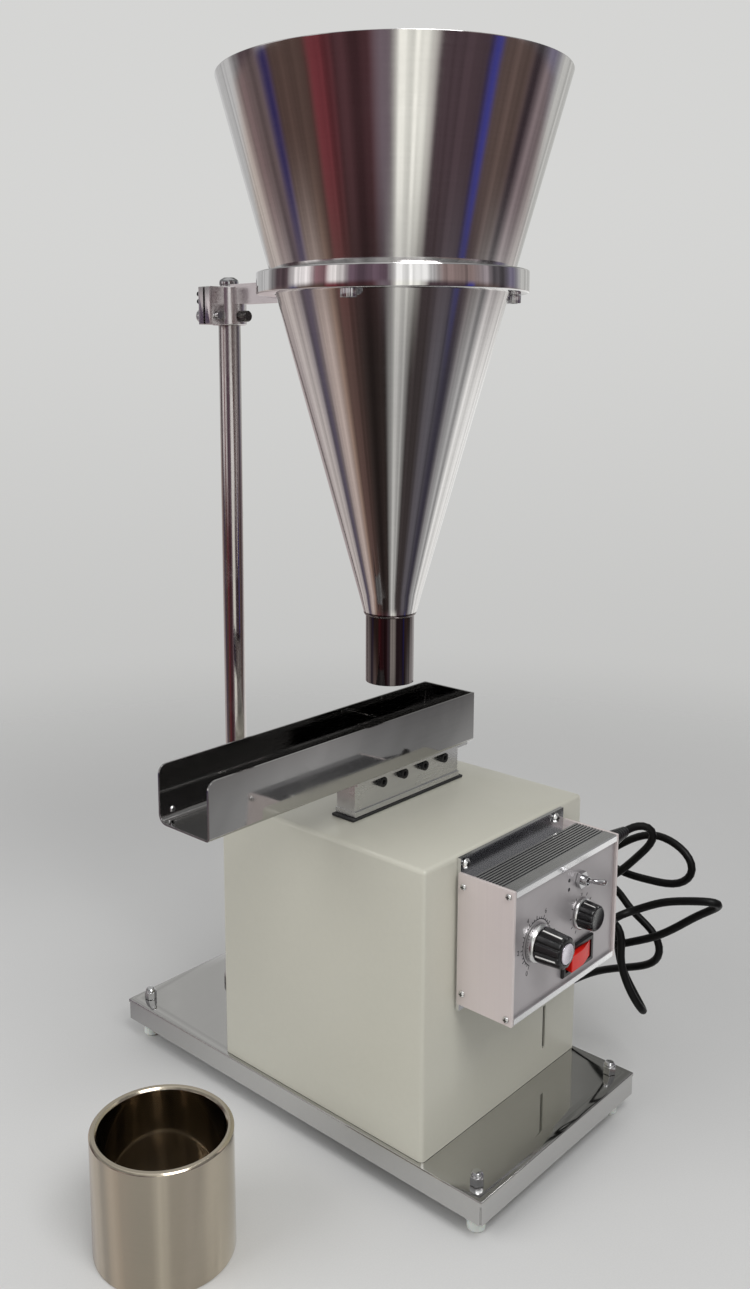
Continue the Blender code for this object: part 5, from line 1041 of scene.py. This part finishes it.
# Painted shade: the floor inside the cup is coloured dark for the shade deep in the bore.
painted_shade_cup_floor = finish("painted_shade_cup_floor", (0.12, 0.10, 0.08), 0.3, lathed(cup_foot, 700.0), 2e-6, metallic=1.0,
                   tone=0.15)
form = spun([(0, 0), (radius, 0, 1), (radius, tall - 1, 0.3), (radius - 1, tall, 0.3),
             (radius - wall + 1.2, tall, 0.3), (radius - wall, tall - 1.4, 0.3), (radius - wall, base, 2),
             (0, base)], (at.x, at.y, low.z), segments=200, steps=5)
cup = piece_from(form, "cup_body", satin_cup, "cup", "satin_steel", "receiving_cup")
cup.data.materials.append(bored_cup)
cup.data.materials.append(painted_shade_cup_floor)
# Faces in the bore take its finer finish, and those of its floor take the painted shade.
for face in cup.data.polygons:
    aside = (face.center.xy - at.xy).length
    if aside < (radius - wall + 0.4) * MM and face.center.z > low.z + (base - 0.1) * MM:
        face.material_index = 2 if face.normal.z > 0.5 else 1

# ---------------------------------------------------------------- cords
# Two round black cords 5.4 mm thick. The vibrator's lead loops from its connector to the cabinet's
# grommet; the mains lead falls in loops to the bench, where the rest of it is wound into a coil.
jacket = finish("jacket", (0.003, 0.003, 0.003), 0.42, peeled(350.0), 0.01 * MM, tone=0.25, spread=0.1,
                marks=0.10, Specular_IOR_Level=0.2)


def even_route(points, spacing, easing=5):
    """A smooth curve along the route's points, with a point at each spacing; easing opens its bends."""
    way = [Vector(p) for p in points]
    way = [2 * way[0] - way[1]] + way + [2 * way[-1] - way[-2]]
    dense = []
    for p0, p1, p2, p3 in zip(way, way[1:], way[2:], way[3:]):
        for step in range(24):
            t = step / 24
            dense.append(0.5 * (2 * p1 + (p2 - p0) * t + (2 * p0 - 5 * p1 + 4 * p2 - p3) * t * t
                                + (3 * p1 - p0 - 3 * p2 + p3) * t * t * t))
    dense.append(way[-2])
    route, run = [dense[0]], 0.0
    for one, two in zip(dense, dense[1:]):
        run += (two - one).length
        if run >= spacing:
            route.append(two)
            run = 0.0
    if (route[-1] - dense[-1]).length < 0.5 * spacing:
        route.pop()
    route.append(dense[-1])
    for _ in range(easing):
        route[1:-1] = [(a + 2 * b + c) / 4 for a, b, c in zip(route, route[1:], route[2:])]
    return route


def cord_piece(name, route):
    """A round cord along its centreline."""
    curve = bpy.data.curves.new(name, "CURVE")
    curve.dimensions = "3D"
    curve.bevel_depth = CORD_THICK / 2
    curve.bevel_resolution = 6
    curve.use_fill_caps = True
    line = curve.splines.new("POLY")
    line.points.add(len(route) - 1)
    for spot, here in zip(line.points, route):
        spot.co = (*here, 1)
    line.use_smooth = True
    curve.materials.append(jacket)
    piece = bpy.data.objects.new(name, curve)
    bpy.context.scene.collection.objects.link(piece)
    return piece


def from_mm(points):
    """Route points in millimetres from the tray's middle, as metres in the shared frame."""
    low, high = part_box("base_tray")
    centre = Vector(((low.x + high.x) / 2, (low.y + high.y) / 2, 0))
    return [centre + Vector(p) * MM for p in points]


def back_end(node):
    """Middle of a turned piece's rear end, where a cord leaves it."""
    at = centre_of(node)
    return Vector((at.x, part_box(node)[1].y, at.z))


leaves = back_end("vibrator_connector") + Vector((0, gap, 0))
enters = back_end("cabinet_grommet") + Vector((0, gap, 0))
lead_way = from_mm([
    (150, 101, 198), (150.5, 107, 198.5), (157, 113, 200), (163, 115, 195), (160, 115, 186),
    (151, 114, 175), (139, 116, 161), (125, 118, 148), (113, 117, 140), (101, 118, 143),
    (102, 125, 153), (117, 127, 156), (134, 123, 154), (148, 124, 154), (163, 124, 155),
    (176, 125, 157), (185, 125, 165), (187, 125, 173), (181, 126, 181), (170, 127, 186),
    (156, 129, 187), (141, 131, 181), (126, 130, 170), (112, 122, 158), (104, 108, 151)])
spacing = 0.8 * CORD_THICK
vibrator_lead = cord_piece("vibrator_lead", even_route([leaves, *lead_way, enters], spacing))
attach(vibrator_lead, "machine")
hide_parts("vibrator_cord")

mains_leaves = back_end("mains_gland") + Vector((0, gap, 0))
mains_way = from_mm([
    (148, 93, 136), (148.3, 99, 136.3), (155, 103, 139), (173, 106, 150), (197, 102, 160),
    (212, 104, 163.5), (213, 113, 158), (196, 115, 145), (173, 110, 125), (149, 110, 111),
    (131, 109, 102), (119, 107, 104), (117, 105, 114), (127, 102, 126), (140, 100, 129),
    (148, 100, 123), (148, 100, 112), (147, 101, 99), (152, 102, 84), (159, 104, 71),
    (163, 110, 62), (156, 118, 61), (145, 117, 77), (138, 117, 89), (136, 117, 102),
    (132, 117, 115), (122, 116, 125), (111, 119, 132), (115, 128, 141), (128, 129, 137),
    (139, 125, 128), (152, 124, 122), (162, 124, 115), (166, 124, 105), (161, 126, 94),
    (149, 127, 86), (128, 129, 76), (109, 132, 65), (88, 138, 48), (64, 150, 26),
    (44, 163, 9), (26, 169.5, 3.4)])
coil_low, coil_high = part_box("mains_coil")
coil_at = (coil_low + coil_high) / 2
coil_outer = (coil_high.x - coil_low.x) / 2
beside = coil_outer + CORD_THICK / 2 + 1.5 * MM
rest = CORD_THICK / 2 + 2 * gap
ends = [Vector((coil_at.x + ahead, coil_at.y - beside, rest)) for ahead in (18 * MM, 0)]
route = even_route([mains_leaves, *mains_way, *ends], spacing)

# The coil is wound clockwise from above: two turns inwards on the bench, two outwards on top of
# them, and a half turn above those that runs off to the plug. Each stop is (turns, radius, height).
second = rest + CORD_THICK
third = second + CORD_THICK
outside, inside = 31.6 * MM, 20.9 * MM
wound = [(0.0, beside, rest), (0.18, 33.0 * MM, rest), (0.35, outside, rest), (2.35, inside, rest),
         (2.60, inside, second), (4.60, outside, second), (4.85, outside, third), (5.25, outside, third)]
for (one, first, low), (two, last, high) in zip(wound, wound[1:]):
    count = max(3, round((two - one) * 40))
    for step in range(1, count + 1):
        share = step / count
        angle = -math.pi / 2 - 2 * math.pi * (one + (two - one) * share)
        radius = first + (last - first) * share
        route.append(Vector((coil_at.x + radius * math.cos(angle), coil_at.y + radius * math.sin(angle),
                             low + (high - low) * share)))
plug_low, plug_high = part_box("mains_plug")
plug_entry = Vector(((plug_low.x + plug_high.x) / 2, plug_low.y, (plug_low.z + plug_high.z) / 2))
last = route[-1]
off = [last, last.lerp(plug_entry, 0.4) + Vector((-0.7 * MM, 0, 0)), plug_entry - Vector((0, 5 * MM, 0)),
       plug_entry + Vector((0, 2 * MM, 0))]
route += even_route(off, spacing, 0)[1:]
mains_lead = cord_piece("mains_lead", route)
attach(mains_lead, "machine")
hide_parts("mains_cord", "mains_coil")

# The tie is a flat black band round the coil's turns, on the side away from the plug.
tie_turn = math.radians(20)
tie_height, tie_reach = 8.9 * MM, 25.9 * MM
out = Vector((math.cos(tie_turn), math.sin(tie_turn), 0))
along = Vector((-math.sin(tie_turn), math.cos(tie_turn), 0))
tie_at = Vector((coil_at.x, coil_at.y, tie_height)) + out * tie_reach
form = bmesh.new()
loops = []
for reach_out, reach_up, side in ((8.9, 8.4, -5), (9.4, 8.9, -5), (9.4, 8.9, 5), (8.9, 8.4, 5)):
    loop = []
    for step in range(64):
        c, s = math.cos(2 * math.pi * step / 64), math.sin(2 * math.pi * step / 64)
        square = (c ** 8 + s ** 8) ** -0.125
        loop.append(form.verts.new(tie_at + out * reach_out * c * square * MM + along * side * MM
                                   + Vector((0, 0, reach_up * s * square * MM))))
    loops.append(loop)
bridge(form, loops + loops[:1])
coil_tie = piece_from(form, "coil_tie", soft_rubber, "machine", "rubber")

# ---------------------------------------------------------------- mains plug
# A moulded black plug with grip ribs and two round nickel pins, on the end of the mains lead. It lies
# on the bench beside the coil.
low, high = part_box("mains_plug")
at = (low + high) / 2
body_end = low.y + 34 * MM
pin_offset = 4.75 * MM
squareness = 3.2
half_x = (high.x - low.x) / 2
half_z = (high.z - low.z) / 2
form = bmesh.new()
rows = []
slices = 40
for step in range(slices + 1):
    share = step / slices
    y = low.y + (body_end - low.y) * share
    grow = min(1.0, 0.42 + 0.9 * math.sin(min(1.0, share * 1.25) * math.pi / 2) ** 0.8)
    ribbed = 1 - 0.05 * (0.45 < share < 0.85) * (math.sin(share * 26 * math.pi) > 0)
    close = 1.0 if 0 < step < slices else 0.93
    row = []
    for turn_step in range(32):
        angle = 2 * math.pi * turn_step / 32
        c, s = math.cos(angle), math.sin(angle)
        square = (abs(c) ** squareness + abs(s) ** squareness) ** (-1 / squareness)
        row.append(form.verts.new((at.x + half_x * grow * ribbed * close * c * square, y,
                                   at.z + half_z * min(1.0, grow + 0.12) * ribbed * close * s * square)))
    rows.append(row)
bridge(form, rows)
form.faces.new(rows[0])
form.faces.new(rows[-1])
plug = piece_from(form, "plug_body", glossy_black, "machine", "black_plastic", "mains_plug",
                  sharp=math.radians(50))
form = bmesh.new()
pin_length = (high.y - body_end) / MM
for side in (-1, 1):
    spun([(0, -1), (2, -1), (2, pin_length, 1.2), (0, pin_length)],
         (at.x + side * pin_offset, body_end, at.z), "Y", 32, form=form)
pins = piece_from(form, "plug_pins", nickel, "machine", "chrome")
